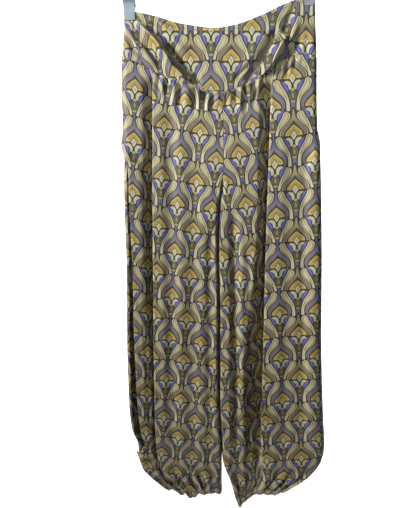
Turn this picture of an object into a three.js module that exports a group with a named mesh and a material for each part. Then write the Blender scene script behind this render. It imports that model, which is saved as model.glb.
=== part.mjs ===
// Tulip trousers hanging from a plain two-clip hanger.
// Millimetres. +Z is up, -Y faces the front, +X is the wearer's left.
// The origin is the underside of the hook's top, where it rests on its rail.
//
// Both legs and the yoke share one body shape: at each height two faces, front and back, run from the
// side to the middle (a leg's inner edge) with rounded ends. Folds then push the cloth into the hollow.
// Each sewn piece is a wall of cloth on its own stretch of that shape.
import * as THREE from "three";

// ---------------------------------------------------------------- driving sizes
const cloth = { wall: 1.6, seamGap: 0.4, lapLift: 3, casingHeight: 13 };
const rounding = { side: 11, inner: 6, sideShare: 0.1, innerShare: 0.06 };
const crotch = { start: -408, point: -482 };
const waistPinch = { depth: 2.2, reach: 50 };
const foldShape = { tip: 2.2, lip: 3.4, lean: 2.1, start: 2.5, end: 8.5, turnWeight: 3 };
const foldLimits = { deepest: 0.62, heldBelow: -1032 };
const hanger = {
  rodRadius: 2.2,
  rodLength: 376,
  wireRadius: 1.8,
  hookRadius: 21,
  neck: 52,
  tiltDegrees: 4.37,
  barMiddleX: 4,
};
const clip = {
  height: 63,
  rodFromTip: 52,
  tipWidth: 17,
  headWidth: 23,
  plate: 1.8,
  holeRadius: 1.2,
  pinRadius: 2.3,
};
const clipPlaces = [
  { name: "right", x: -159, tipZ: -164 },
  { name: "left", x: 151.5, tipZ: -140 },
];

// Outline and depth of the hanging trousers. right and left are the two side edges in X, front and
// back are how far each face stands from the middle plane.
const outline = table(
  ["z", "right", "left", "front", "back"],
  [
    [-100, -170, 160, 5, 5],
    [-165, -171, 164.5, 8, 8],
    [-217, -177, 169.5, 11, 10],
    [-292, -181, 174, 15, 14],
    [-381, -181, 181, 20, 18],
    [-475, -184.5, 188.5, 24, 22],
    [-574, -185.5, 195.5, 25, 23],
    [-791, -193, 208.5, 25, 23],
    [-909, -194.5, 218.5, 25, 23],
    [-969, -191.5, 224.5, 24, 22],
    [-1010, -179.5, 228.5, 23, 21],
    [-1051, -177, 229, 22, 20],
    [-1072, -172, 220, 21, 19],
    [-1094, -155, 204, 19, 18],
    [-1115, -136, 182, 17, 16],
    [-1140, -112, 153, 15, 14],
    [-1170, -106, 146, 13, 12],
    [-1215, -106, 146, 13, 12],
  ],
);

// Centre seam above the crotch, then the inner edge of each leg.
const innerEdge = table(
  ["z", "right", "left"],
  [
    [-260, 0.8, 1.2],
    [-375, 4.8, 5.2],
    [-444, 2.8, 3.2],
    [-484, -3.2, -2.8],
    [-570, -5.2, -4.8],
    [-688, -2.2, -1.8],
    [-905, -0.7, -0.3],
    [-942, 1.7, 2.1],
    [-1000, 5, 5.6],
    [-1033, 6.5, 9.5],
    [-1094, 7.5, 21],
    [-1115, 7.5, 27],
    [-1159, 8, 38],
    [-1190, 8, 48],
    [-1215, 8, 50],
  ],
);

// Top edge of the yoke and the seam under it, across the front and the back.
const waistLine = table(
  ["x", "front", "back"],
  [
    [-185, -142, -142],
    [-148, -146, -146],
    [-120, -152, -153],
    [-73, -165, -166],
    [-10, -172, -174],
    [27, -166, -168],
    [67, -152, -155],
    [127, -127, -129],
    [180, -117, -117],
  ],
);
const yokeSeam = table(
  ["x", "front", "back"],
  [
    [-190, -219, -219],
    [-161, -224, -224],
    [-128, -241, -232],
    [-71, -261, -243],
    [-17, -276, -250],
    [3, -278, -251],
    [36, -268, -249],
    [77, -249, -241],
    [112, -225, -230],
    [143, -216, -221],
    [180, -218, -218],
  ],
);

// Lower edge of the leg panels, from the side (0) to the inner edge (1), where the ankle casing starts.
const hemLine = {
  right: table(
    ["share", "front", "back"],
    [
      [0, -1119, -1119],
      [0.15, -1125, -1124],
      [0.36, -1144, -1132],
      [0.56, -1131, -1134],
      [0.78, -1128, -1132],
      [1, -1130, -1130],
    ],
  ),
  left: table(
    ["share", "front", "back"],
    [
      [0, -1118, -1118],
      [0.25, -1131, -1125],
      [0.5, -1129, -1129],
      [0.75, -1146, -1147],
      [1, -1175, -1175],
    ],
  ),
};

// The open side slit, from its top to its rounded foot. edge is where the front panel's free edge lies
// and under how far the back panel runs in below it, both as the distance in X from the side edge:
// plus is on the front face, minus is round on the back face.
const slitEdge = {
  right: table(
    ["z", "edge", "under"],
    [
      [-372, 0, 0],
      [-390, 6, 5],
      [-410, 11, 22],
      [-514, 14, 28],
      [-703, 18, 28],
      [-871, 22, 31],
      [-975, 24, 32],
      [-998, 22, 29],
      [-1012, 16, 20],
      [-1022, 6, 6],
      [-1032, 0, 0],
    ],
  ),
  left: table(
    ["z", "edge", "under"],
    [
      [-372, 0, 0],
      [-390, -1, 4],
      [-410, -3, 14],
      [-703, -5, 20],
      [-975, -5, 20],
      [-1012, -2, 10],
      [-1022, -1, 3],
      [-1032, 0, 0],
    ],
  ),
};

// The front panel stands off the back one from a little above the slit to a little below it.
const slitLift = { from: -340, full: -368, end: -1032, to: -1060 };

// Hanging folds. A fold that turns doubles the cloth back under itself, with its lip facing -X where
// turn is 1 and +X where it is -1; one with no turn is a soft flute. atTop and atFoot are X, approach
// is the width of the slope down to the fold.
const folds = table(
  ["leg", "face", "atTop", "atFoot", "turn", "depth", "approach", "from", "to"],
  [
    ["right", "front", -127, -137, 1, 15, 34, -243, -1104],
    ["right", "front", -92, -100, 0, 4, 13, -300, -1090],
    ["right", "front", -50, -58, 0, 3.5, 15, -330, -1100],
    ["right", "front", -19, -20, 0, 5, 7, -520, -1110],
    ["left", "front", 86, 92, 1, 17, 42, -244, -1105],
    ["left", "front", 84, 88, 0, 6, 11, -1010, -1230],
    ["left", "front", 20, 40, 0, 8, 9, -490, -1090],
    ["left", "front", 130, 140, 0, 3, 14, -330, -1110],
    ["left", "front", 158, 175, 0, 3.5, 14, -330, -1080],
    ["right", "back", -118, -126, 1, 14, 30, -262, -1090],
    ["right", "back", -72, -78, 0, 6, 12, -300, -1100],
    ["right", "back", -32, -34, 0, 7, 9, -480, -1110],
    ["left", "back", 106, 128, -1, 14, 30, -262, -1090],
    ["left", "back", 58, 72, 0, 6, 12, -300, -1100],
    ["left", "back", 26, 36, 0, 7, 9, -480, -1110],
  ],
);

// Gathers below the yoke seam and above the ankle casings: how many, how high, how far they run.
const gathers = table(
  ["leg", "face", "from", "to", "count", "height", "run"],
  [
    ["right", "front", -116, -20, 6, 2.4, 70],
    ["left", "front", 16, 78, 4, 2.6, 70],
    ["left", "front", 98, 130, 2, 1.8, 45],
    ["right", "back", -104, -18, 4, 2.2, 60],
    ["left", "back", 16, 94, 4, 2.2, 60],
  ],
);
const ankleGathers = { count: 7, height: 3.2, atCasing: 1.5, start: -1040, full: -1105 };

// Drag folds across the yoke, from the clips down to the middle of the seam.
const dragFolds = table(
  ["face", "x1", "z1", "x2", "z2", "width", "height"],
  [
    ["front", -146, -152, -46, -272, 8, -5],
    ["front", -158, -166, -56, -268, 8, 6],
    ["front", -164, -186, -92, -252, 8, -4],
    ["front", -168, -202, -110, -246, 8, 3],
    ["front", 132, -132, 46, -262, 9, 4],
    ["front", 118, -158, 52, -264, 8, -6],
    ["front", 132, -160, 74, -254, 8, 6],
    ["front", 146, -172, 98, -238, 8, -4],
    ["back", -152, -158, -50, -244, 10, -4],
    ["back", -162, -178, -70, -240, 10, 4],
    ["back", 144, -144, 52, -240, 10, -4],
    ["back", 150, -166, 76, -234, 10, 4],
  ],
);

// ---------------------------------------------------------------- small maths
function table(columns, rows) {
  return rows.map((row) => Object.fromEntries(columns.map((name, i) => [name, row[i]])));
}

const mix = (a, b, t) => a + (b - a) * t;
const clamp01 = (t) => Math.min(1, Math.max(0, t));
const bell = (t) => Math.exp(-t * t);

function ramp(from, to, value) {
  const t = clamp01((value - from) / (to - from));
  return t * t * (3 - 2 * t);
}

// Smooth curve through one column of a table, with no overshoot between rows.
function along(rows, key, column, value) {
  const ordered = rows[0][key] < rows[rows.length - 1][key] ? rows : [...rows].reverse();
  const last = ordered.length - 1;
  const at = Math.min(Math.max(value, ordered[0][key]), ordered[last][key]);
  let i = 0;
  while (i < last - 1 && at > ordered[i + 1][key]) i += 1;
  const slope = (k) =>
    (ordered[k + 1][column] - ordered[k][column]) / (ordered[k + 1][key] - ordered[k][key]);
  const here = slope(i);
  const bend = (a, b) => (a * b <= 0 ? 0 : (2 * a * b) / (a + b));
  const m0 = i > 0 ? bend(slope(i - 1), here) : here;
  const m1 = i < last - 1 ? bend(here, slope(i + 1)) : here;
  const width = ordered[i + 1][key] - ordered[i][key];
  const t = (at - ordered[i][key]) / width;
  return (
    ordered[i][column] * (1 + 2 * t) * (1 - t) ** 2 +
    m0 * width * t * (1 - t) ** 2 +
    ordered[i + 1][column] * t * t * (3 - 2 * t) +
    m1 * width * t * t * (t - 1)
  );
}

// ---------------------------------------------------------------- the body's shape
const outlineAt = (column, z) => along(outline, "z", column, z);
const innerAt = (leg, z) => along(innerEdge, "z", leg, z);
const inwards = (leg) => (leg === "right" ? 1 : -1);
const intoHollow = (face) => (face === "front" ? 1 : -1);

// How closely the two faces are held together near a clip: 1 in its jaws, 0 well away from it.
function pinch(x, z) {
  return Math.max(
    ...clipPlaces.map((place) => {
      const dx = Math.max(0, Math.abs(x - place.x) - clip.headWidth / 2);
      const dz = Math.max(0, place.tipZ - 2 - z);
      return 1 - ramp(0, waistPinch.reach, Math.hypot(dx, dz));
    }),
  );
}

function faceDepth(face, x, z) {
  return mix(outlineAt(face, z), waistPinch.depth, pinch(x, z));
}

// How far a leg's inner edge has turned back to meet its other face: 0 at the centre seam, 1 below
// the crotch.
const closure = (z) => ramp(crotch.start, crotch.point, z);

const innerTurn = (z) => (closure(z) * Math.PI) / 2;

// The side is rounded less where the faces are held close, so that the wall never closes on itself.
function sideRound(leg, face, z) {
  const stand = faceDepth(face, outlineAt(leg, z), z);
  return Math.min(rounding.side, stand ** 2 / (1.15 * cloth.wall));
}

// The share of a face that its rounded inner end takes.
const innerPart = (z) => rounding.innerShare * Math.sin(innerTurn(z));

// A point at a share of the way from the side edge (0) to the inner edge (1) of one face, before folds.
function faceBase(leg, face, share, z) {
  const side = outlineAt(leg, z);
  const inner = innerAt(leg, z);
  const turn = innerTurn(z);
  const way = inwards(leg);
  const round = sideRound(leg, face, z);
  const flatStart = side + way * round;
  const flatEnd = inner - way * rounding.inner * Math.sin(turn);
  const { sideShare } = rounding;
  const flatShare = 1 - innerPart(z);
  let x;
  let stand = 1;
  if (share < sideShare) {
    const angle = ((share / sideShare) * Math.PI) / 2;
    x = side + way * round * (1 - Math.cos(angle));
    stand = Math.sin(angle);
  } else if (share < flatShare || turn < 0.001) {
    x = mix(flatStart, flatEnd, (share - sideShare) / (flatShare - sideShare));
  } else {
    const angle = ((share - flatShare) / (1 - flatShare)) * turn;
    x = flatEnd + way * rounding.inner * Math.sin(angle);
    stand = Math.cos(angle);
  }
  return { x, stand, y: -intoHollow(face) * stand * faceDepth(face, x, z) };
}

// The share of a face at a distance in X from its side edge.
function shareAt(leg, distance, z) {
  const flat =
    Math.abs(innerAt(leg, z) - outlineAt(leg, z)) -
    rounding.side -
    rounding.inner * Math.sin(innerTurn(z));
  if (distance < rounding.side) {
    const angle = Math.acos(1 - distance / rounding.side);
    return (rounding.sideShare * angle * 2) / Math.PI;
  }
  const across = (distance - rounding.side) / flat;
  return rounding.sideShare + across * (1 - rounding.sideShare - innerPart(z));
}

// Where a fold lies. Below a level it and the columns near it keep their share of the narrowing leg.
const heldLevel = (z) => Math.max(z, foldLimits.heldBelow);
const foldX = (fold, z) => mix(fold.atTop, fold.atFoot, ramp(-250, -1050, heldLevel(z)));

// A turned fold from the foot of its slope: round the tip in the hollow, back, round the lip and on.
// share runs over the folded width; the result is how far along and how deep the cloth has come.
function foldPath(depth, share) {
  const { tip, lip, lean, start, end, turnWeight } = foldShape;
  const turn = Math.min(lean, Math.acos(Math.max(-1, 1 - depth / (tip + lip))));
  const back = Math.max(0, depth - (tip + lip) * (1 - Math.cos(lean))) / Math.sin(lean);
  const fullAlong = (tip + lip) * Math.sin(turn) + back * Math.cos(turn);
  const leadOut = Math.max(0, end - start - fullAlong);
  const weights = [(tip + turnWeight) * turn, back, (lip + turnWeight) * turn, leadOut];
  let left = share * weights.reduce((sum, weight) => sum + weight, 0);
  const parts = weights.map((weight) => {
    const part = weight > 0 ? clamp01(left / weight) : 0;
    left -= weight;
    return part;
  });
  const tipTurn = turn * parts[0];
  const lipTurn = turn * (1 - parts[2]);
  const along =
    tip * Math.sin(tipTurn) +
    back * parts[1] * Math.cos(turn) +
    lip * (Math.sin(turn) - Math.sin(lipTurn)) +
    leadOut * parts[3];
  const risen =
    tip * (1 - Math.cos(tipTurn)) + back * parts[1] * Math.sin(turn) + lip * (Math.cos(lipTurn) - Math.cos(turn));
  return { along, into: depth - risen };
}

// The shift that one hanging fold gives a point of its face. x is taken at the level where folds are
// held, for a point below it.
function foldShift(fold, x, z) {
  const strength = ramp(fold.from, fold.from - 34, z) * ramp(fold.to, fold.to + 130, z);
  const foldAt = foldX(fold, z);
  const depth = strength * Math.min(fold.depth, foldLimits.deepest * outlineAt(fold.face, z));
  if (fold.turn === 0) return { dx: 0, into: depth * bell((x - foldAt) / fold.approach) };
  const { start, end } = foldShape;
  const t = (x - foldAt) * fold.turn;
  if (t < start) return { dx: 0, into: depth * ramp(start - fold.approach, start, t) };
  if (t > end) return { dx: 0, into: 0 };
  const path = foldPath(depth, (t - start) / (end - start));
  return { dx: (start + path.along - t) * fold.turn, into: path.into };
}

function seamGather(leg, face, x, z) {
  const drop = along(yokeSeam, "x", face, x) - z;
  return gathers
    .filter((row) => row.leg === leg && row.face === face)
    .reduce((sum, row) => {
      const within = ramp(row.from - 6, row.from + 6, x) * ramp(row.to + 6, row.to - 6, x);
      const wave = Math.cos((2 * Math.PI * row.count * (x - row.from)) / (row.to - row.from));
      return sum + row.height * wave * within * ramp(0, 14, drop) * (1 - ramp(16, row.run, drop));
    }, 0);
}

function ankleGather(share, z) {
  const { count, height, atCasing, start, full } = ankleGathers;
  const swell = mix(height, atCasing, ramp(full, full - 25, z)) * ramp(start, full, z);
  return swell * Math.cos(2 * Math.PI * count * share) * ramp(0, 0.07, share) * ramp(1, 0.93, share);
}

// A point of the cloth. place runs from -1, the inner edge of the front face, through 0, the side, to
// +1, the inner edge of the back face.
function legPoint(leg, place, z) {
  const face = place < 0 ? "front" : "back";
  const share = Math.abs(place);
  const base = faceBase(leg, face, share, z);
  const heldX = faceBase(leg, face, share, heldLevel(z)).x;
  const into = intoHollow(face);
  let { x, y } = base;
  for (const fold of folds) {
    if (fold.leg !== leg || fold.face !== face) continue;
    const shift = foldShift(fold, heldX, z);
    x += shift.dx * base.stand ** 2;
    y += into * shift.into * base.stand ** 2;
  }
  y += into * (seamGather(leg, face, base.x, z) * base.stand + ankleGather(share, z));
  return { x, y };
}

// The cloth's outer point and its inner one, lifted off the layer below where it lies over one.
function skin(outerPoint, place, turnSign, lift) {
  const step = 0.0004;
  const here = outerPoint(place);
  const a = outerPoint(place - step);
  const b = outerPoint(place + step);
  const length = Math.hypot(b.x - a.x, b.y - a.y);
  const nx = (turnSign * (a.y - b.y)) / length;
  const ny = (turnSign * (b.x - a.x)) / length;
  const inset = lift - cloth.wall;
  return {
    outer: new THREE.Vector3(here.x + nx * lift, here.y + ny * lift, here.z),
    inner: new THREE.Vector3(here.x + nx * inset, here.y + ny * inset, here.z),
  };
}

// ---------------------------------------------------------------- walls of cloth
// A closed wall from rows of skin points, ordered so that its outer side faces out.
function wall(rows, { closed = false } = {}) {
  const count = rows[0].length;
  const points = [...rows.flat().map((p) => p.outer), ...rows.flat().map((p) => p.inner)];
  const innerSkin = rows.length * count;
  const index = [];
  const quad = (a, b, c, d) => index.push(a, b, c, a, c, d);
  const wide = closed ? count : count - 1;
  for (let j = 0; j < rows.length - 1; j += 1) {
    for (let i = 0; i < wide; i += 1) {
      const a = j * count + i;
      const b = j * count + ((i + 1) % count);
      quad(a, a + count, b + count, b);
      quad(innerSkin + a, innerSkin + b, innerSkin + b + count, innerSkin + a + count);
    }
  }
  for (let i = 0; i < wide; i += 1) {
    const next = (i + 1) % count;
    const foot = (rows.length - 1) * count;
    quad(i, next, innerSkin + next, innerSkin + i);
    quad(foot + i, innerSkin + foot + i, innerSkin + foot + next, foot + next);
  }
  for (let j = 0; !closed && j < rows.length - 1; j += 1) {
    const a = j * count;
    const b = a + count - 1;
    quad(a, innerSkin + a, innerSkin + a + count, a + count);
    quad(b, b + count, innerSkin + b + count, innerSkin + b);
  }
  const geometry = new THREE.BufferGeometry().setFromPoints(points);
  geometry.setIndex(index);
  geometry.computeVertexNormals();
  return geometry;
}

// Numbers from a start through each stretch, evenly spaced within it.
function spaced(stretches, start = 0) {
  const numbers = [start];
  for (const { to, count } of stretches) {
    const from = numbers[numbers.length - 1];
    for (let i = 1; i <= count; i += 1) numbers.push(mix(from, to, i / count));
  }
  return numbers;
}

// The height that a line gives at the place where it is itself used.
function settle(start, heightAt) {
  let z = start;
  for (let pass = 0; pass < 6; pass += 1) z = heightAt(z);
  return z;
}

// The rows of a leg panel: shares of the way from the seam to the first level, the levels, and shares
// of the way from the last level to the hem.
const legRows = {
  belowSeam: [0, 0.12, 0.28, 0.55],
  levels: [-340, -372, -390, -410, -430, -452, -482, -620, -800, -975, -998, -1012, -1022, -1032],
  aboveHem: [0.35, 0.7, 1],
};

// The columns of each leg panel, from the side. Each row ends a stretch of evenly spaced columns at a
// share of the face (minus is round on the other face), with the slit shut and open, or at an X
// measured from the panel's main fold.
const panelColumns = table(
  ["leg", "face", "at", "shut", "open", "count"],
  [
    ["right", "front", "fold", -15, -15, 4],
    ["right", "front", "fold", 2.5, 2.5, 3],
    ["right", "front", "fold", 8.5, 8.5, 10],
    ["right", "front", "fold", 106, 106, 19],
    ["right", "front", "share", 0.94, 0.94, 1],
    ["right", "front", "share", 1, 1, 3],
    ["left", "front", "share", 0.03, 0, 2],
    ["left", "front", "share", 0.1, 0.1, 4],
    ["left", "front", "fold", 48, 48, 3],
    ["left", "front", "fold", 8.5, 8.5, 5],
    ["left", "front", "fold", 2.5, 2.5, 10],
    ["left", "front", "fold", -70, -70, 14],
    ["left", "front", "share", 0.94, 0.94, 1],
    ["left", "front", "share", 1, 1, 3],
    ["right", "back", "share", 0.03, -0.1, 2],
    ["right", "back", "share", 0.06, 0, 3],
    ["right", "back", "share", 0.1, 0.1, 3],
    ["right", "back", "fold", -12, -12, 2],
    ["right", "back", "fold", 2.5, 2.5, 2],
    ["right", "back", "fold", 8.5, 8.5, 8],
    ["right", "back", "fold", 100, 100, 11],
    ["right", "back", "share", 1, 1, 3],
    ["left", "back", "share", 0.03, -0.1, 2],
    ["left", "back", "share", 0.06, 0, 3],
    ["left", "back", "share", 0.1, 0.1, 3],
    ["left", "back", "fold", 12, 12, 2],
    ["left", "back", "fold", -2.5, -2.5, 2],
    ["left", "back", "fold", -8.5, -8.5, 8],
    ["left", "back", "fold", -90, -90, 11],
    ["left", "back", "share", 1, 1, 3],
  ],
);

const signedShare = (leg, distance, z) => Math.sign(distance) * shareAt(leg, Math.abs(distance), z);

// The share of a face that half a seam's gap takes, at its rounded side or inner end.
const gapShare = (part, depth) => (cloth.seamGap * part) / (Math.PI * depth);

// The places of a panel's columns at one height. Below the level where folds are held, every column
// keeps its share between the panel's two edges.
function columnPlaces(leg, face, z) {
  const sign = face === "front" ? -1 : 1;
  const held = heldLevel(z);
  const edge = along(slitEdge[leg], "z", face === "front" ? "edge" : "under", held);
  const under = along(slitEdge[leg], "z", "under", held);
  const open = clamp01(under / 14);
  const start = sign * gapShare(rounding.sideShare, outlineAt(face, held)) - signedShare(leg, edge, held);
  const end = sign * (1 - gapShare(innerPart(held), outlineAt(face, held)));
  const main = folds.find((row) => row.leg === leg && row.face === face && row.turn !== 0);
  const stops = panelColumns
    .filter((row) => row.leg === leg && row.face === face)
    .map(({ at, shut, open: wide, count }) => {
      if (at === "fold") {
        const distance = Math.abs(foldX(main, held) + shut - outlineAt(leg, held));
        return { to: sign * shareAt(leg, distance, held), count };
      }
      return { to: shut === 1 ? end : sign * mix(shut, wide, open), count };
    });
  const places = spaced(stops, start);
  if (z === held) return places;
  const startNow = sign * gapShare(rounding.sideShare, outlineAt(face, z));
  const endNow = sign * (1 - gapShare(innerPart(z), outlineAt(face, z)));
  return places.map((place) => mix(startNow, endNow, (place - start) / (end - start)));
}

function panelPoint(leg, face, column, z) {
  const place = columnPlaces(leg, face, z)[column];
  const reach = shareAt(leg, along(slitEdge[leg], "z", "under", z), z);
  const beside = ramp(slitLift.from, slitLift.full, z) * ramp(slitLift.to, slitLift.end, z);
  const over = face === "front" ? beside * ramp(reach + 0.09, reach + 0.02, -place) : 0;
  const outerPoint = (at) => ({ ...legPoint(leg, at, z), z });
  return skin(outerPoint, place, inwards(leg), cloth.lapLift * over);
}

function legPanel(leg, face) {
  const { belowSeam, levels, aboveHem } = legRows;
  const columns = columnPlaces(leg, face, levels[0]).map((_, column) => column);
  const placeAt = (column, z) => columnPlaces(leg, face, z)[column];
  const seamZ = columns.map((column) =>
    settle(-240, (z) => along(yokeSeam, "x", face, faceBase(leg, face, Math.abs(placeAt(column, z)), z).x)),
  );
  const hemZ = columns.map((column) =>
    settle(-1130, (z) => along(hemLine[leg], "share", face, Math.abs(placeAt(column, z)))),
  );
  const lowest = levels[levels.length - 1];
  const heights = (column) => [
    ...belowSeam.map((share) => mix(seamZ[column] - cloth.seamGap / 2, levels[0], share)),
    ...levels,
    ...aboveHem.map((share) => mix(lowest, hemZ[column], share)),
  ];
  const byColumn = columns.map((column) => heights(column).map((z) => panelPoint(leg, face, column, z)));
  const rows = byColumn[0].map((_, j) => byColumn.map((points) => points[j]));
  return wall((leg === "right") === (face === "front") ? rows : rows.map((row) => [...row].reverse()));
}

// The elastic casing round an ankle, on the same gathered section as the panels above it.
function ankleCasing(leg) {
  const half = spaced(table(["to", "count"], [[0.94, 21], [1, 3]]));
  const places = [...[...half].reverse().map((share) => -share), ...half.slice(1, -1)];
  const ring = (drop) =>
    places.map((place) => {
      const face = place < 0 ? "front" : "back";
      const z = along(hemLine[leg], "share", face, Math.abs(place)) - drop;
      return skin((at) => ({ ...legPoint(leg, at, z), z }), place, inwards(leg), 0);
    });
  const rows = [0.6, cloth.casingHeight / 2, cloth.casingHeight].map(ring);
  return wall(leg === "left" ? rows : rows.map((row) => [...row].reverse()), { closed: true });
}

function dragShift(face, x, z, seamZ) {
  return dragFolds
    .filter((row) => row.face === face)
    .reduce((sum, { x1, z1, x2, z2, width, height }) => {
      const length = Math.hypot(x2 - x1, z2 - z1);
      const run = ((x - x1) * (x2 - x1) + (z - z1) * (z2 - z1)) / length;
      const off = ((x - x1) * (z2 - z1) - (z - z1) * (x2 - x1)) / length;
      const taper = ramp(-4, 16, run) * ramp(length + 10, length - 8, run);
      return sum + height * bell(off / width) * taper * ramp(seamZ, seamZ + 12, z);
    }, 0);
}

// The yoke's front or back, from the wearer's right side to the left.
function yoke(face) {
  const half = spaced(table(["to", "count"], face === "front" ? [[0.1, 4], [1, 16]] : [[0.1, 4], [1, 11]]));
  const rowCount = face === "front" ? 8 : 6;
  const columns = [
    ...half.slice(0, -1).map((share) => ({ leg: "right", share })),
    ...[...half].reverse().map((share) => ({ leg: "left", share })),
  ];
  const into = intoHollow(face);
  const yokePoint = (leg, share, row) => {
    const seamAt = (x) => along(yokeSeam, "x", face, x) + cloth.seamGap / 2;
    const xAt = (z) => faceBase(leg, face, share, z).x;
    const z = settle(-200, (at) => mix(along(waistLine, "x", face, xAt(at)), seamAt(xAt(at)), row));
    const base = faceBase(leg, face, share, z);
    const free = (1 - pinch(base.x, z)) * base.stand ** 2;
    return { x: base.x, y: base.y - into * dragShift(face, base.x, z, seamAt(base.x)) * free, z };
  };
  const rows = [];
  for (let j = 0; j <= rowCount; j += 1) {
    const row = columns.map(({ leg, share }) => {
      const start = Math.max(share, gapShare(rounding.sideShare, waistPinch.depth));
      const turnSign = into * inwards(leg) * -1;
      return skin((at) => yokePoint(leg, Math.abs(at), j / rowCount), start, turnSign, 0);
    });
    rows.push(face === "front" ? row : row.reverse());
  }
  return wall(rows);
}

// ---------------------------------------------------------------- the hanger
function rodAlong(length, radius) {
  return new THREE.CylinderGeometry(radius, radius, length, 16).rotateZ(Math.PI / 2);
}

// Hook and neck in one wire, from the top of the bar up and round.
function hookGeometry() {
  const { hookRadius: radius, wireRadius } = hanger;
  const centreZ = -radius + wireRadius;
  const path = new THREE.CurvePath();
  const footZ = centreZ - radius - hanger.neck;
  const start = new THREE.Vector3(0, 0, footZ);
  const bendStart = new THREE.Vector3(0, 0, centreZ - radius - 6);
  const joinAngle = -Math.PI * 0.36;
  const onRing = (angle) =>
    new THREE.Vector3(radius * Math.cos(angle), 0, centreZ + radius * Math.sin(angle));
  path.add(new THREE.LineCurve3(start, bendStart));
  const join = onRing(joinAngle);
  path.add(new THREE.QuadraticBezierCurve3(bendStart, new THREE.Vector3(0, 0, join.z - 2), join));
  const steps = 22;
  const sweep = Math.PI * 1.32;
  const ring = [];
  for (let i = 0; i <= steps; i += 1) ring.push(onRing(joinAngle + (sweep * i) / steps));
  path.add(new THREE.CatmullRomCurve3(ring));
  const section = new THREE.Shape().absarc(0, 0, wireRadius, 0, Math.PI * 2);
  return new THREE.ExtrudeGeometry(section, { steps: 30, extrudePath: path, curveSegments: 4 });
}

// One jaw of a clip: a plate with a wide head and a narrow tip, and two small holes beside its edge.
function jawGeometry(face) {
  const { height, tipWidth, headWidth, plate, holeRadius } = clip;
  const shape = new THREE.Shape();
  const tip = tipWidth / 2;
  const head = headWidth / 2;
  const shoulder = height * 0.22;
  shape.moveTo(-tip, 0);
  shape.lineTo(tip, 0);
  shape.lineTo(tip, shoulder);
  shape.quadraticCurveTo(tip, shoulder + 5, head, shoulder + 7);
  shape.lineTo(head, height - 5);
  shape.quadraticCurveTo(head, height, head - 5, height);
  shape.lineTo(-head + 5, height);
  shape.quadraticCurveTo(-head, height, -head, height - 5);
  shape.lineTo(-tip - 0.5, shoulder);
  shape.closePath();
  for (const z of [shoulder + 12, shoulder + 24]) {
    shape.holes.push(new THREE.Path().absarc(head - 4, z, holeRadius, 0, Math.PI * 2));
  }
  const solid = new THREE.ExtrudeGeometry(shape, {
    depth: plate,
    bevelEnabled: false,
    curveSegments: 6,
  });
  solid.rotateX(Math.PI / 2);
  return face === "front" ? solid.translate(0, -jawGap(), 0) : solid.translate(0, jawGap() + plate, 0);
}

// Half the space between two jaws: the rod and the two layers of cloth both fit in it.
function jawGap() {
  return Math.max(hanger.rodRadius, waistPinch.depth) + cloth.seamGap;
}

// ---------------------------------------------------------------- assembly
const printedCloth = new THREE.MeshStandardMaterial({ color: 0x8f8763, roughness: 0.55 });
const backCloth = new THREE.MeshStandardMaterial({ color: 0x878066, roughness: 0.6 });
const greyPlastic = new THREE.MeshStandardMaterial({ color: 0xa9b0b4, roughness: 0.45 });
const steelWire = new THREE.MeshStandardMaterial({ color: 0xb8bcc0, roughness: 0.3, metalness: 1 });

const trousers = new THREE.Group();

function add(parent, name, geometry, material) {
  const mesh = new THREE.Mesh(geometry, material);
  mesh.name = name;
  parent.add(mesh);
  return mesh;
}

add(trousers, "yoke_front", yoke("front"), printedCloth);
add(trousers, "yoke_back", yoke("back"), backCloth);
for (const leg of ["right", "left"]) {
  add(trousers, `leg_${leg}_front`, legPanel(leg, "front"), printedCloth);
  add(trousers, `leg_${leg}_back`, legPanel(leg, "back"), backCloth);
  add(trousers, `ankle_casing_${leg}`, ankleCasing(leg), printedCloth);
}

// The hanger swings about its hook, so its bar tilts with the clips at two heights.
const tilt = THREE.MathUtils.degToRad(hanger.tiltDegrees);
const tilted = new THREE.Group();
tilted.rotation.y = -tilt;
trousers.add(tilted);
const hookFootZ = -2 * hanger.hookRadius + hanger.wireRadius - hanger.neck;
const rodZ = hookFootZ - hanger.rodRadius - cloth.seamGap;
add(tilted, "hanger_hook", hookGeometry(), steelWire);
const rod = add(tilted, "hanger_rod", rodAlong(hanger.rodLength, hanger.rodRadius), steelWire);
rod.position.set(hanger.barMiddleX, 0, rodZ);
for (const place of clipPlaces) {
  const holder = new THREE.Group();
  const alongRod = place.x * Math.cos(tilt) + place.tipZ * Math.sin(tilt);
  holder.position.set(alongRod, 0, rodZ - clip.rodFromTip);
  tilted.add(holder);
  add(holder, `clip_${place.name}_front`, jawGeometry("front"), greyPlastic);
  add(holder, `clip_${place.name}_back`, jawGeometry("back"), greyPlastic);
  const pinLength = clip.headWidth - 6;
  const pin = add(holder, `clip_${place.name}_pin`, rodAlong(pinLength, clip.pinRadius), steelWire);
  pin.position.set(0, 0, clip.rodFromTip - 12);
}

export default trousers;
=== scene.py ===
import math
import bmesh
import bpy
import numpy as np
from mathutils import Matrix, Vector


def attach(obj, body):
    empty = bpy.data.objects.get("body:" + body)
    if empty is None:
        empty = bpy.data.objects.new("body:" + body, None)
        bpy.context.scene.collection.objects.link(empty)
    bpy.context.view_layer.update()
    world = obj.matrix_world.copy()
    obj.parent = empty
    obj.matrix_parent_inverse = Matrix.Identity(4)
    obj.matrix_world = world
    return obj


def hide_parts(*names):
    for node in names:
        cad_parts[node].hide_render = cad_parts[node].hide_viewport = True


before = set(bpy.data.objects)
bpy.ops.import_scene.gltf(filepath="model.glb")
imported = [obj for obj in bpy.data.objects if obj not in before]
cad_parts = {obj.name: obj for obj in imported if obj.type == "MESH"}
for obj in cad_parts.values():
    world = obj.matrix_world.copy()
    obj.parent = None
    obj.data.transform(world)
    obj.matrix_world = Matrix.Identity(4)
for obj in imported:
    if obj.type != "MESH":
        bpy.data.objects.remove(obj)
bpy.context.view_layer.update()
print("frame loaded")


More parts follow.
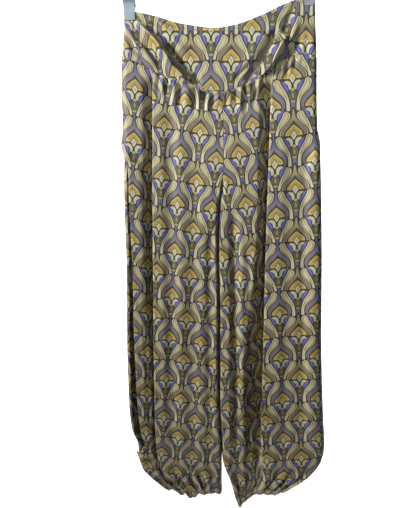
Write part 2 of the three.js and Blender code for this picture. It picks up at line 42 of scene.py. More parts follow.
# lengths are in millimetres until a mesh is made, and each function takes whole arrays
def smooth(start, end, value):
    t = np.clip((value - start) / (end - start), 0, 1)
    return t * t * (3 - 2 * t)


def mixed(a, b, t):
    return a + (b - a) * t


def bell(t):
    return np.exp(-t * t)


def curveThrough(places, values):
    # a smooth curve through given values that never overshoots them
    order = np.argsort(places)
    xs = np.array(places, float)[order]
    ys = np.array(values, float)[order]
    slopes = np.diff(ys) / np.diff(xs)
    bends = np.concatenate([slopes[:1], slopes[:-1], slopes[-1:]])
    before, after = slopes[:-1], slopes[1:]
    total = np.where(before * after > 0, before + after, 1)
    bends[1:-1] = np.where(before * after > 0, 2 * before * after / total, 0)

    def read(at):
        at = np.clip(at, xs[0], xs[-1])
        i = np.clip(np.searchsorted(xs, at, side="right") - 1, 0, len(xs) - 2)
        width = xs[i + 1] - xs[i]
        t = (at - xs[i]) / width
        return (
            ys[i] * (1 + 2 * t) * (1 - t) ** 2
            + bends[i] * width * t * (1 - t) ** 2
            + ys[i + 1] * t * t * (3 - 2 * t)
            + bends[i + 1] * width * t * t * (t - 1)
        )

    return read


def curves(names, rows):
    # one curve for each named column, against the first column
    columns = list(zip(*rows))
    return {name: curveThrough(columns[0], column) for name, column in zip(names[1:], columns[1:])}


# the trousers as they hang
body = {
    "sideRound": 11, "sideShare": 0.1, "innerRound": 6, "innerShare": 0.06, "wall": 1.6,
    "wallsAtSide": 1.15, "crotchStart": -408, "crotchPoint": -482, "foldsHeldBelow": -1032,
    "pinchDepth": 2.2, "pinchReach": 50, "clipHalf": 11.5, "tipDrop": 2,
    "gapCurve": 2.6, "gapDepth": 6, "gapFoot": (-1062, -1020),
}
clipPlaces = [(-159, -164), (151.5, -140)]

outline = curves(
    ("z", "right", "left", "front", "back"),
    [
        (-100, -170, 160, 5, 5), (-165, -171, 164.5, 8, 8), (-217, -177, 169.5, 11, 10),
        (-292, -181, 174, 15, 14), (-381, -181, 181, 20, 18), (-475, -184.5, 188.5, 24, 22),
        (-574, -185.5, 195.5, 25, 23), (-791, -193, 208.5, 25, 23), (-909, -194.5, 218.5, 25, 23),
        (-969, -191.5, 224.5, 24, 22), (-1010, -179.5, 228.5, 23, 21), (-1051, -177, 229, 22, 20),
        (-1072, -172, 220, 21, 19), (-1094, -155, 204, 19, 18), (-1115, -136, 182, 17, 16),
        (-1140, -112, 153, 15, 14), (-1170, -106, 146, 13, 12), (-1215, -106, 146, 13, 12),
    ],
)
innerEdge = curves(
    ("z", "right", "left"),
    [
        (-260, 0.8, 1.2), (-375, 4.8, 5.2), (-444, 2.8, 3.2), (-484, -3.2, -2.8), (-570, -5.2, -4.8),
        (-688, -2.2, -1.8), (-905, -0.7, -0.3), (-942, 1.7, 2.1), (-1000, 5, 5.6), (-1033, 6.5, 6.8),
        (-1056, 7.2, 8.6), (-1094, 7.5, 20), (-1115, 7.5, 27), (-1159, 8, 38), (-1190, 8, 48),
        (-1215, 8, 50),
    ],
)
waistLine = curves(
    ("x", "front", "back"),
    [
        (-185, -142, -142), (-148, -146, -146), (-120, -152, -153), (-73, -165, -166), (-10, -172, -174),
        (27, -166, -168), (67, -152, -155), (127, -127, -129), (180, -117, -117),
    ],
)
yokeSeam = curves(
    ("x", "front", "back"),
    [
        (-190, -219, -219), (-161, -224, -224), (-128, -241, -232), (-71, -261, -243), (-17, -276, -250),
        (3, -278, -251), (36, -268, -249), (77, -249, -241), (112, -225, -230), (143, -216, -221),
        (180, -218, -218),
    ],
)
hemLine = {
    "right": curves(
        ("share", "front", "back"),
        [
            (0, -1113, -1113), (0.15, -1119, -1120), (0.26, -1132, -1127), (0.31, -1127, -1129),
            (0.38, -1140, -1131), (0.48, -1137, -1133), (0.56, -1128, -1133), (0.68, -1130, -1132),
            (0.78, -1126, -1131), (1, -1128, -1129),
        ],
    ),
    "left": curves(
        ("share", "front", "back"),
        [
            (0, -1118, -1118), (0.25, -1131, -1125), (0.5, -1129, -1129), (0.75, -1146, -1147),
            (1, -1171, -1172),
        ],
    ),
}
slitEdge = {
    "right": curves(
        ("z", "edge", "under"),
        [
            (-372, 0, 0), (-390, 6, 5), (-410, 11, 22), (-514, 14, 28), (-703, 18, 28), (-871, 22, 31),
            (-975, 24, 32), (-998, 22, 29), (-1012, 16, 20), (-1022, 6, 6), (-1032, 0, 0),
        ],
    ),
    "left": curves(
        ("z", "edge", "under"),
        [
            (-372, 0, 0), (-390, -1, 4), (-410, -3, 14), (-703, -5, 20), (-975, -5, 20), (-1012, -2, 10),
            (-1022, -1, 3), (-1032, 0, 0),
        ],
    ),
}
# folds of each face: x at the top and the foot, which way it turns over or 0, depth,
# approach at the top and the foot, from, to
hangingFolds = {
    ("right", "front"): [
        (-127, -137, 1, 29, 20, 9, -243, -1104), (-92, -100, 0, 4, 13, 13, -300, -1090),
        (-50, -58, 0, 3.5, 15, 15, -330, -1100), (-19, -20, 0, 5, 7, 7, -520, -1110),
    ],
    ("left", "front"): [
        (86, 92, 1, 33, 22, 54, -244, -1105), (84, 88, 0, 6, 11, 11, -1010, -1230),
        (20, 40, 0, 8, 9, 9, -490, -1090), (130, 140, 0, 3, 14, 14, -330, -1110),
        (158, 175, 0, 3.5, 14, 14, -330, -1080),
    ],
    ("right", "back"): [
        (-118, -126, 1, 14, 30, 30, -262, -1090), (-72, -78, 0, 6, 12, 12, -300, -1100),
        (-32, -34, 0, 7, 9, 9, -480, -1110),
    ],
    ("left", "back"): [
        (106, 128, -1, 14, 30, 30, -262, -1090), (58, 72, 0, 6, 12, 12, -300, -1100),
        (26, 36, 0, 7, 9, 9, -480, -1110),
    ],
}
foldShape = {
    "tip": 2.2, "lip": 3.4, "lean": 1.82, "start": 2.5, "end": 8.5, "turnWeight": 3,
    "slopePower": 1.3, "slopeEase": 0.3, "runIn": 34, "runOut": 130, "atYoke": 0.75,
    "drifts": (-250, -1050), "deepens": (-260, -800), "widens": (-500, -950),
}
# the shares of the front's and the back's own depth that a fold of each face may take up
foldRoom = {"front": (1, 0.3), "back": (0, 0.45)}


def inwards(leg):
    return 1 if leg == "right" else -1


def intoHollow(face):
    return 1 if face == "front" else -1


def pinch(x, z):
    closest = 0
    for clipX, tipZ in clipPlaces:
        dx = np.maximum(0, np.abs(x - clipX) - body["clipHalf"])
        dz = np.maximum(0, tipZ - body["tipDrop"] - z)
        closest = np.maximum(closest, 1 - smooth(0, body["pinchReach"], np.hypot(dx, dz)))
    return closest


def faceDepth(face, x, z):
    return mixed(outline[face](z), body["pinchDepth"], pinch(x, z))


def innerTurn(z):
    return smooth(body["crotchStart"], body["crotchPoint"], z) * math.pi / 2


def sideRound(leg, face, z):
    stand = faceDepth(face, outline[leg](z), z)
    return np.minimum(body["sideRound"], stand ** 2 / (body["wallsAtSide"] * body["wall"]))


def innerPart(z):
    return body["innerShare"] * np.sin(innerTurn(z))


def faceBase(leg, face, share, z):
    # one face before its folds, from its side edge at share 0 to its inner edge at share 1: x, how squarely
    # the cloth faces out there, and y
    side, inner, turn = outline[leg](z), innerEdge[leg](z), innerTurn(z)
    way, rounded, sideShare = inwards(leg), sideRound(leg, face, z), body["sideShare"]
    flatStart = side + way * rounded
    flatEnd = inner - way * body["innerRound"] * np.sin(turn)
    flatShare = 1 - innerPart(z)
    sideAngle = np.clip(share / sideShare, 0, 1) * math.pi / 2
    innerAngle = np.clip((share - flatShare) / np.maximum(1 - flatShare, 1e-6), 0, 1) * turn
    atSide = share < sideShare
    onFlat = (share < flatShare) | (turn < 0.001)
    x = np.where(
        atSide,
        side + way * rounded * (1 - np.cos(sideAngle)),
        np.where(
            onFlat,
            mixed(flatStart, flatEnd, (share - sideShare) / (flatShare - sideShare)),
            flatEnd + way * body["innerRound"] * np.sin(innerAngle),
        ),
    )
    stand = np.where(atSide, np.sin(sideAngle), np.where(onFlat, 1, np.cos(innerAngle)))
    y = -intoHollow(face) * stand * faceDepth(face, x, z)
    # the two legs' inner edges bend together, so nothing shows between them
    curved = body["gapCurve"] * bell((y - body["gapDepth"]) / body["gapDepth"])
    curved = curved * np.sin(turn) * smooth(*body["gapFoot"], z)
    return x + np.where(share > 0.5, curved, 0), stand, y


def shareAt(leg, distance, z):
    # the share of a face that lies within this distance of its side edge
    flat = np.abs(innerEdge[leg](z) - outline[leg](z)) - body["sideRound"]
    flat = flat - body["innerRound"] * np.sin(innerTurn(z))
    angle = np.arccos(np.clip(1 - distance / body["sideRound"], -1, 1))
    across = (distance - body["sideRound"]) / flat
    return np.where(
        distance < body["sideRound"],
        body["sideShare"] * angle * 2 / math.pi,
        body["sideShare"] + across * (1 - body["sideShare"] - innerPart(z)),
    )


def heldLevel(z):
    return np.maximum(z, body["foldsHeldBelow"])


def foldX(fold, z):
    return mixed(fold[0], fold[1], smooth(*foldShape["drifts"], heldLevel(z)))


def foldPath(depth, share):
    # round the tip in the hollow, back, round the lip and on
    tip, lip, lean = foldShape["tip"], foldShape["lip"], foldShape["lean"]
    start, end, extra = foldShape["start"], foldShape["end"], foldShape["turnWeight"]
    turn = np.minimum(lean, np.arccos(np.clip(1 - depth / (tip + lip), -1, 1)))
    back = np.maximum(0, depth - (tip + lip) * (1 - math.cos(lean))) / math.sin(lean)
    fullAlong = (tip + lip) * np.sin(turn) + back * np.cos(turn)
    leadOut = np.maximum(0, end - start - fullAlong)
    weights = [(tip + extra) * turn, back, (lip + extra) * turn, leadOut]
    left = share * sum(weights)
    parts = []
    for weight in weights:
        parts.append(np.where(weight > 0, np.clip(left / np.maximum(weight, 1e-9), 0, 1), 0))
        left = left - weight
    tipTurn, lipTurn = turn * parts[0], turn * (1 - parts[2])
    along = (
        tip * np.sin(tipTurn) + back * parts[1] * np.cos(turn)
        + lip * (np.sin(turn) - np.sin(lipTurn)) + leadOut * parts[3]
    )
    risen = (
        tip * (1 - np.cos(tipTurn)) + back * parts[1] * np.sin(turn)
        + lip * (np.cos(lipTurn) - np.cos(turn))
    )
    return along, depth - risen


def foldReach(face, z):
    # how deep a fold may go before it meets the other face
    ofFront, ofBack = foldRoom[face]
    return ofFront * outline["front"](z) + ofBack * outline["back"](z)


def foldShift(fold, face, x, z):
    atTop, atFoot, turn, depth, wideTop, wideFoot, top, foot = fold
    strength = smooth(top, top - foldShape["runIn"], z) * smooth(foot, foot + foldShape["runOut"], z)
    if turn:
        strength = strength * mixed(foldShape["atYoke"], 1, smooth(*foldShape["deepens"], z))
    depth = strength * np.minimum(depth, foldReach(face, z))
    foldAt = foldX(fold, z)
    approach = mixed(wideTop, wideFoot, smooth(*foldShape["widens"], z))
    if turn == 0:
        return 0 * x, depth * bell((x - foldAt) / approach)
    start, end = foldShape["start"], foldShape["end"]
    t = (x - foldAt) * turn
    along, into = foldPath(depth, np.clip((t - start) / (end - start), 0, 1))
    inFold = (t >= start) & (t <= end)
    run = np.clip((t - start) / approach + 1, 0, 1)
    slope = depth * mixed(run ** foldShape["slopePower"], smooth(0, 1, run), foldShape["slopeEase"])
    dx = np.where(inFold, (start + along - t) * turn, 0)
    return dx, np.where(t < start, slope, np.where(inFold, into, 0))


# creases and drag folds of the yoke: x and z of the start and of the end, half width, height.
# here and below, a plus height stands out of the cloth and a minus one sinks in
creases = {
    "front": [
        (-125, -166, -45, -262, 6.4, -15), (-146, -160, -59, -264, 5, 16),
        (-152, -176, -108, -236, 5.2, -11), (-92, -222, -70, -258, 4.2, -7), (-112, -162, -58, -216, 7, 3),
        (-166, -186, -140, -222, 4.5, -3), (99, -176, 47, -258, 6.2, -15), (117, -182, 68, -258, 5.2, 15),
        (127, -204, 90, -256, 4.8, -8), (125, -142, 103, -182, 4.6, -10), (137, -156, 118, -192, 5, 6),
        (80, -178, 34, -236, 8, 3), (52, -226, 24, -262, 4, -4), (139, -186, 122, -224, 4, -4.5),
        (146, -182, 152, -230, 4, -3),
    ],
    "back": [
        (-152, -158, -50, -244, 8, -7.6), (-162, -178, -70, -240, 8, 7.6), (-140, -180, -96, -228, 4, -4.2),
        (144, -144, 52, -240, 8, -7.6), (150, -166, 76, -234, 8, 7.6), (118, -176, 84, -228, 4, -4.6),
    ],
}
creaseShape = {"wander": 2.2, "wanderLength": 17, "startTaper": (-6, 16), "endTaper": (10, 12)}


def creaseHeight(face, x, z):
    total = 0
    for x1, z1, x2, z2, width, height in creases[face]:
        length = math.hypot(x2 - x1, z2 - z1)
        run = ((x - x1) * (x2 - x1) + (z - z1) * (z2 - z1)) / length
        off = ((x - x1) * (z2 - z1) - (z - z1) * (x2 - x1)) / length
        off = off + creaseShape["wander"] * np.sin(run / creaseShape["wanderLength"] + x1)
        past, short = creaseShape["endTaper"]
        taper = smooth(*creaseShape["startTaper"], run) * smooth(length + past, length - short, run)
        total = total + height * bell(off / width) * taper
    return total


# gathers under the yoke seam: x, half width, height, run down
gathers = {
    ("right", "front"): [
        (-112, 3.4, -4, 46), (-104, 3.6, 4, 60), (-97, 3, -5.6, 40), (-90, 2.6, 3, 28), (-83, 4, 4.2, 70),
        (-75, 2.8, -6, 62), (-61, 7, 5.6, 56), (-47, 2.8, -6.4, 60), (-39, 3.4, 4, 46), (-31, 2.8, -5, 34),
        (-23, 3.6, 3.8, 64), (-14, 3, -4, 40), (-6, 3, 2.6, 24),
    ],
    ("left", "front"): [
        (8, 2.8, -3.6, 30), (16, 3, 3.4, 44), (25, 3, -4.6, 36), (33, 3.4, 4.6, 66), (42, 3.2, -7, 62),
        (50, 3, 4.6, 44), (58, 2.8, -5.2, 56), (65, 3, 4.2, 40), (73, 3, -4.4, 38), (100, 2.6, -4, 34),
        (107, 2.8, 3.6, 30), (114, 2.6, -4.2, 44), (121, 3, 3, 28), (129, 2.8, -3.4, 30), (137, 3, 2.4, 20),
    ],
    ("right", "back"): [
        (-98, 4, -5.1, 50), (-84, 5, 4.4, 62), (-60, 4, -5.1, 44), (-44, 5, 4.8, 58), (-26, 4, -4.4, 40),
    ],
    ("left", "back"): [
        (24, 4, -4.8, 48), (40, 5, 4.4, 60), (58, 4, -5.1, 42), (76, 5, 4.4, 56), (92, 4, -4.1, 38),
    ],
}
gatherShape = {
    "drift": 0.045, "wander": 1.2, "wanderLength": 19, "doubleAfter": 90, "rise": 9, "fadeFrom": 0.3,
}


def gatherHeight(leg, face, x, z):
    drop = yokeSeam[face](x) - z
    rise = smooth(0, gatherShape["rise"], drop)
    total = 0
    for at, width, height, run in gathers[leg, face]:
        drift = at - gatherShape["drift"] * inwards(leg) * drop
        drift = drift + gatherShape["wander"] * np.sin(drop / gatherShape["wanderLength"] + at)
        spread = width * (1 + drop / gatherShape["doubleAfter"])
        fade = 1 - smooth(run * gatherShape["fadeFrom"], run, drop)
        total = total + height * bell((x - drift) / spread) * rise * fade
    return total


# long soft waves down the legs: x at the top and the foot, half width, height, from, to
waves = {
    ("right", "front"): [
        (-108, -118, 9, 1.6, -330, -1080), (-74, -82, 11, 1.4, -350, -1060),
        (-34, -42, 8, 1.2, -420, -1100), (-9, -8, 3, 1.6, -520, -1120),
    ],
    ("left", "front"): [
        (9, 22, 4, 1.8, -500, -1120), (33, 52, 6, 2.4, -480, -1110), (48, 66, 5, -2, -540, -1080),
        (66, 76, 6, 1.4, -600, -1080), (112, 122, 10, 1.2, -330, -1090), (172, 196, 8, 1.2, -360, -1040),
    ],
    ("right", "back"): [
        (-100, -112, 9, 2.5, -340, -1080), (-52, -56, 9, 2.5, -360, -1090), (-12, -10, 4, 2.2, -500, -1110),
    ],
    ("left", "back"): [
        (88, 104, 9, 2.5, -340, -1080), (42, 54, 8, 2.5, -360, -1090), (150, 168, 10, 2.2, -350, -1080),
    ],
}
waveShape = {
    "levels": (-300, -1050), "wander": 1.6, "wanderLength": 83, "swell": 0.3, "swellLength": 61,
    "runIn": 60, "runOut": 90,
}


def waveHeight(leg, face, x, z):
    total = 0
    for atTop, atFoot, width, height, top, foot in waves[leg, face]:
        at = mixed(atTop, atFoot, smooth(*waveShape["levels"], z))
        at = at + waveShape["wander"] * np.sin(z / waveShape["wanderLength"] + atTop)
        strength = smooth(top, top - waveShape["runIn"], z) * smooth(foot, foot + waveShape["runOut"], z)
        swell = 1 + waveShape["swell"] * np.sin(z / waveShape["swellLength"] + atFoot)
        total = total + height * strength * bell((x - at) / width) * swell
    return total


# small puckers of the fronts, where a seam pulls: x, z, half width, half length, height
puckers = {
    ("right", "front"): [
        (-7, -452, 3.5, 9, -1.8), (-10, -486, 3, 12, 1.6), (-10, -660, 3, 26, -1), (-160, -1034, 13, 4, 5),
        (-148, -1052, 12, 7, -7), (-150, -1082, 16, 5, -2.4), (-120, -1098, 14, 6, 2.6),
        (-104, -1120, 5, 16, -2.6), (-70, -1128, 8, 9, 2.4), (-44, -1112, 4, 16, -2.2),
        (-18, -1118, 5, 10, 1.8),
    ],
    ("left", "front"): [
        (10, -440, 4, 8, 1.8), (5, -458, 2.6, 9, -2), (8, -484, 3, 14, 1.6), (12, -556, 3, 26, -1.2),
        (9, -640, 3, 22, 1), (12, -740, 3, 30, -1.2), (10, -842, 3, 26, 1), (196, -1082, 12, 7, -2.2),
        (150, -1108, 7, 14, -2.4), (122, -1122, 6, 14, 2.4), (60, -1140, 5, 18, -2),
    ],
}


def puckerHeight(leg, face, x, z):
    total = 0
    for atX, atZ, halfWidth, halfLength, height in puckers.get((leg, face), []):
        total = total + height * bell((x - atX) / halfWidth) * bell((z - atZ) / halfLength)
    return total


ankleGathers = {
    "count": 7, "height": 3.2, "atCasing": 1.5, "start": -1040, "full": -1105, "easing": 25,
    "sideEase": 0.07, "fine": 0.45, "fineCount": 2.3, "fineShift": 0.2, "fineLevels": (-1080, -1122),
}


def ankleGather(share, z):
    count, full, sideEase = ankleGathers["count"], ankleGathers["full"], ankleGathers["sideEase"]
    settled = smooth(full, full - ankleGathers["easing"], z)
    swell = mixed(ankleGathers["height"], ankleGathers["atCasing"], settled)
    swell = swell * smooth(ankleGathers["start"], full, z)
    ends = smooth(0, sideEase, share) * smooth(1, 1 - sideEase, share)
    fine = np.sin(2 * math.pi * (count * ankleGathers["fineCount"] * share + ankleGathers["fineShift"]))
    fine = ankleGathers["fine"] * fine * smooth(*ankleGathers["fineLevels"], z)
    return swell * (np.cos(2 * math.pi * count * share) + fine) * ends


def legSection(leg, face, share, z):
    # where the cloth of one face runs
    x, stand, y = faceBase(leg, face, share, z)
    heldX = faceBase(leg, face, share, heldLevel(z))[0]
    into = intoHollow(face)
    foldedX, foldedY = x, y
    for fold in hangingFolds[leg, face]:
        dx, depth = foldShift(fold, face, heldX, z)
        foldedX = foldedX + dx * stand ** 2
        foldedY = foldedY + into * depth * stand ** 2
    foldedY = foldedY + into * ankleGather(share, z)
    relief = gatherHeight(leg, face, x, z) + waveHeight(leg, face, x, z) + puckerHeight(leg, face, x, z)
    return foldedX, foldedY - into * relief * stand ** 2


def aroundLeg(leg, place, z):
    # a place is a share of the face it lies on: below 0 on the front, above 0 on the back
    share = np.abs(place)
    frontX, frontY = legSection(leg, "front", share, z)
    backX, backY = legSection(leg, "back", share, z)
    return np.where(place < 0, frontX, backX), np.where(place < 0, frontY, backY)


# panels as grids: each stretch of columns ends at a share of the face, for the slit shut and open, or at a
# distance from the panel's deep fold, and holds this many columns
panelColumns = {
    ("right", "front"): [
        ("fold", -15, 12), ("fold", 2.5, 9), ("fold", 8.5, 26), ("fold", 106, 62),
        ("share", (0.94, 0.94), 4), ("share", (1, 1), 9),
    ],
    ("right", "back"): [
        ("share", (0.03, -0.1), 6), ("share", (0.06, 0), 6), ("share", (0.1, 0.1), 5),
        ("fold", -12, 8), ("fold", 2.5, 6), ("fold", 8.5, 18), ("fold", 100, 42), ("share", (1, 1), 8),
    ],
    ("left", "front"): [
        ("share", (0.03, 0), 4), ("share", (0.1, 0.1), 8), ("fold", 48, 18), ("fold", 8.5, 18),
        ("fold", 2.5, 26), ("fold", -70, 42), ("share", (0.94, 0.94), 4), ("share", (1, 1), 9),
    ],
    ("left", "back"): [
        ("share", (0.03, -0.1), 6), ("share", (0.06, 0), 6), ("share", (0.1, 0.1), 5),
        ("fold", 12, 8), ("fold", -2.5, 6), ("fold", -8.5, 18), ("fold", -90, 42), ("share", (1, 1), 8),
    ],
}
# rows above, beside and below the slit, whose levels come next, then first guesses at the seam and the hem
panelRows = {
    "front": (66, 210, 58), "back": (44, 150, 42), "slit": (-340, -1032),
    "seamGuess": -240, "hemGuess": -1130,
}
seamTuck = {"up": 1.6, "inwards": 1.5, "reach": 2.6}
slitLap = {
    "fullUnder": 14, "openTop": (-366, -374), "openFoot": (-1034, -1026),
    "lift": 4.5, "liftTop": (-340, -368), "liftFoot": (-1060, -1032), "liftEnds": (0.09, 0.02),
    "sink": 17, "sinkTop": (-374, -430), "sinkFoot": (-1030, -985), "sinkFrom": (5, 20),
}


def columnPlaces(leg, face, z):
    sign = -1 if face == "front" else 1
    held = heldLevel(z)
    under = slitEdge[leg]["under"](held)
    edge = slitEdge[leg]["edge"](held) if face == "front" else under
    opened = np.clip(under / slitLap["fullUnder"], 0, 1)
    main = next(fold for fold in hangingFolds[leg, face] if fold[2])
    start = -np.sign(edge) * shareAt(leg, np.abs(edge), held)
    stops, stretch, within = [start], [0], [0]
    for number, (kind, end, count) in enumerate(panelColumns[leg, face]):
        if kind == "fold":
            distance = np.abs(foldX(main, held) + end - outline[leg](held))
            stops.append(sign * shareAt(leg, distance, held))
        else:
            stops.append(sign * mixed(*end, opened))
        stretch += [number] * count
        within += [(i + 1) / count for i in range(count)]
    stretch, within = np.array(stretch), np.array(within)
    held = np.broadcast_to(held, np.broadcast_shapes(np.shape(held), within.shape))
    stacked = np.stack([np.broadcast_to(stop, held.shape) for stop in stops])
    low = np.take_along_axis(stacked, np.broadcast_to(stretch, held.shape)[None], 0)[0]
    high = np.take_along_axis(stacked, np.broadcast_to(stretch + 1, held.shape)[None], 0)[0]
    places = mixed(low, high, within)
    below = (places - start) / (sign - start) * sign
    return np.where(z < held, below, places)


def settle(guess, shape, rule, rounds=6):
    z = np.full(shape, float(guess))
    for _ in range(rounds):
        z = rule(z)
    return z


def panelPositions(leg, face):
    count = sum(row[-1] for row in panelColumns[leg, face]) + 1

    def seamLevel(z):
        return yokeSeam[face](faceBase(leg, face, np.abs(columnPlaces(leg, face, z)), z)[0])

    def hemLevel(z):
        return hemLine[leg][face](np.abs(columnPlaces(leg, face, z)))

    seamZ = settle(panelRows["seamGuess"], count, seamLevel)
    hemZ = settle(panelRows["hemGuess"], count, hemLevel)
    top, foot = panelRows["slit"]
    above, beside, below = panelRows[face]
    rows = [mixed(seamZ + seamTuck["up"], top, i / above) for i in range(above)]
    rows += [np.full(count, mixed(top, foot, i / beside)) for i in range(beside)]
    rows += [mixed(foot, hemZ, i / below) for i in range(below + 1)]
    z = np.array(rows)
    place = columnPlaces(leg, face, z)
    x, y = aroundLeg(leg, place, z)
    step = 0.0006
    ax, ay = aroundLeg(leg, place - step, z)
    bx, by = aroundLeg(leg, place + step, z)
    length = np.hypot(bx - ax, by - ay) + 1e-9
    nx, ny = inwards(leg) * (ay - by) / length, inwards(leg) * (bx - ax) / length
    if face == "front":
        # the free edge at the slit stands off the back panel
        reach = shareAt(leg, slitEdge[leg]["under"](z), z)
        none, full = slitLap["liftEnds"]
        lift = smooth(*slitLap["liftTop"], z) * smooth(*slitLap["liftFoot"], z)
        lift = slitLap["lift"] * lift * smooth(reach + none, reach + full, np.abs(place))
        x, y = x + nx * lift, y + ny * lift
    else:
        # what runs in under the front panel's free edge sinks away behind it
        away = np.abs(x - outline[leg](z))
        sunk = smooth(*slitLap["sinkTop"], z) * smooth(*slitLap["sinkFoot"], z)
        sunk = sunk * smooth(*slitLap["sinkFrom"], away) * (place < 0)
        y = y + slitLap["sink"] * sunk
    # the top edge runs in under the yoke's edge
    tuck = seamTuck["inwards"] * bell((z - seamZ - seamTuck["up"]) / seamTuck["reach"])
    return x - nx * tuck, y - ny * tuck, z


print("shapes ready")

clothThickness = 0.00075  # metres


def clothSheet(name, x, y, z, across, down, edge, turned):
    # a grid of cloth, rows downwards, whose vertices are moved to these places
    rows, columns = x.shape
    if turned:
        x, y, z, across, down, edge = (part[:, ::-1] for part in (x, y, z, across, down, edge))
    grid = bmesh.new()
    bmesh.ops.create_grid(grid, x_segments=columns - 1, y_segments=rows - 1, size=0.5)
    mesh = bpy.data.meshes.new(name)
    grid.to_mesh(mesh)
    grid.free()
    places = np.empty(len(mesh.vertices) * 3)
    mesh.vertices.foreach_get("co", places)
    places = places.reshape(-1, 3)
    column = np.rint((places[:, 0] + 0.5) * (columns - 1)).astype(int)
    row = np.rint((0.5 - places[:, 1]) * (rows - 1)).astype(int)
    moved = np.stack([x[row, column], y[row, column], z[row, column]], 1) / 1000
    mesh.vertices.foreach_set("co", moved.ravel())
    corners = np.empty(len(mesh.loops), int)
    mesh.loops.foreach_get("vertex_index", corners)
    flat = np.stack([across[row, column], -down[row, column]], 1)[corners] / 1000
    mesh.uv_layers.new(name="cloth").uv.foreach_set("vector", flat.ravel())
    fromEdge = mesh.attributes.new("edge", "FLOAT", "POINT")
    fromEdge.data.foreach_set("value", edge[row, column] / 1000)
    mesh.polygons.foreach_set("use_smooth", np.ones(len(mesh.polygons), bool))
    mesh.update()
    piece = bpy.data.objects.new(name, mesh)
    bpy.context.scene.collection.objects.link(piece)
    shell = piece.modifiers.new("thickness", "SOLIDIFY")
    shell.thickness = clothThickness
    shell.offset = -1
    shell.material_offset = 1
    shell.material_offset_rim = 0
    return piece


def alongRows(x, y, counted=1):
    # distances along each row of a grid from its first column
    steps = np.hypot(np.diff(x, axis=1), np.diff(y, axis=1) * counted)
    return np.concatenate([np.zeros((x.shape[0], 1)), np.cumsum(steps, axis=1)], axis=1)


# how the print lies: the motif that a column of it hangs from, with its x and z, the column's lean and the
# row's tilt in degrees, the cloth's stretch across and down, and an x where it hangs clear of the folds
printRepeat = {"across": 75, "down": 101.7}
grain = {
    ("right", "front"): ("second", -45.7, -440, -4.55, -8.4, 0.885, 0.9, -45.7),
    ("right", "back"): ("second", -62, -290, -3.6, -3.6, 0.97, 0.98, -62),
    ("left", "front"): ("second", 125.7, -254.5, 4, 5.7, 1.01, 0.968, 125.7),
    ("left", "back"): ("first", 96, -262, 3.6, 3.6, 0.97, 0.98, 96),
    ("yoke", "front"): ("first", -18.9, -175.8, 0, 0, 0.95, 0.97, -18.9),
    ("yoke", "back"): ("second", 12, -204, 0, 0, 0.97, 0.98, 12),
}
# past a front panel's deep fold the cloth hangs on its own slant, and the fold's hidden columns of the grid,
# from and to, take up the change
pastFold = {
    ("left", "front"): {
        "grain": ("second", 33, -390, 9, 9, 0.86, 0.92, 44), "columns": (56, 71),
    },
    ("right", "front"): {
        "grain": ("second", -127.5, -419, -3, -12, 0.92, 0.906, -152), "columns": (38, 24),
    },
}
# the yoke's corners are dragged askew below the clips, each past a line down a trough
yokeCorners = [
    {
        "from": (-136, -170), "to": (-44, -263),
        "grain": ("first", -158.5, -155.5, 14, 0, 0.72, 0.97, -158.5),
    },
    {
        "from": (59.5, -243), "to": (122, -142),
        "grain": ("second", 147, -194, 0, 0, 0.9, 0.97, 147),
    },
]
# the jersey eases over its gathers and stretches down its deep folds, so a share of their depth is left out
depthCounted = {"gathers": 0.3, "gathersEnd": (-262, -350), "folds": 0.66, "foldsDeepen": (-400, -950)}
cornerBlend = 2
farFromEdge = 60  # where an edge isn't open, so that no stitches run along it


def clothPlaces(x, y, z, rule, counted):
    # distances across and down the cloth along its threads, for this rule of the print
    motif, motifX, motifZ, lean, tilt, wide, tall, clear = rule
    lean, tilt = math.radians(lean), math.radians(tilt)
    along = alongRows(x, y, counted[:, 1:])
    zero = np.empty(x.shape[0])
    for row, offset in enumerate(x - clear):
        # where the row crosses the clear line, and the middle one if it does so more than once
        crossing = np.nonzero(offset[:-1] * offset[1:] <= 0)[0]
        i = crossing[len(crossing) // 2] if len(crossing) else np.abs(offset).argmin()
        i = min(i, x.shape[1] - 2)
        gap = offset[i] - offset[i + 1]
        share = offset[i] / gap if abs(gap) > 1e-9 else 0
        zero[row] = mixed(along[row, i], along[row, i + 1], min(max(share, 0), 1))
    sign = 1 if x[0, -1] > x[0, 0] else -1
    level = (along - zero[:, None]) * sign + clear - motifX + (z - motifZ) * math.tan(lean)
    across = level * math.cos(lean) / wide
    down = (motifZ - z + level * math.tan(tilt)) / math.cos(lean) / tall
    if motif == "second":
        # it lies half a repeat across and down from a first one
        across, down = across + printRepeat["across"] / 2, down + printRepeat["down"] / 2
    return np.stack([across, down])


cloths = {}
for leg, face in panelColumns:
    x, y, z = panelPositions(leg, face)
    counted = mixed(depthCounted["gathers"], 1, smooth(*depthCounted["gathersEnd"], z))
    counted = counted * mixed(1, depthCounted["folds"], smooth(*depthCounted["foldsDeepen"], z))
    laid = clothPlaces(x, y, z, grain[leg, face], counted)
    if (leg, face) in pastFold:
        beyond = clothPlaces(x, y, z, pastFold[leg, face]["grain"], counted)
        laid = mixed(laid, beyond, smooth(*pastFold[leg, face]["columns"], np.arange(x.shape[1])))
    isOpen = smooth(*slitLap["openTop"], z) * smooth(*slitLap["openFoot"], z)
    edge = np.where(isOpen > 0.5, alongRows(x, y), farFromEdge)
    turned = (leg == "left") == (face == "front")
    cloths[leg, face] = clothSheet(f"{leg}Leg{face.title()}", x, y, z, *laid, edge, turned)
print("leg panels made")

yokeGrid = {"front": (14, 66, 92), "back": (12, 50, 60), "guess": -200, "leastShare": 0.002}
yokeShape = {
    "pinchEase": 0.5, "deepest": 0.85, "aboveSeam": (-4, 7), "belowWaist": (-2, 10),
    "seamDip": 0.9, "seamReach": 2.4, "rolledEdge": 0.8, "rollReach": 2,
}


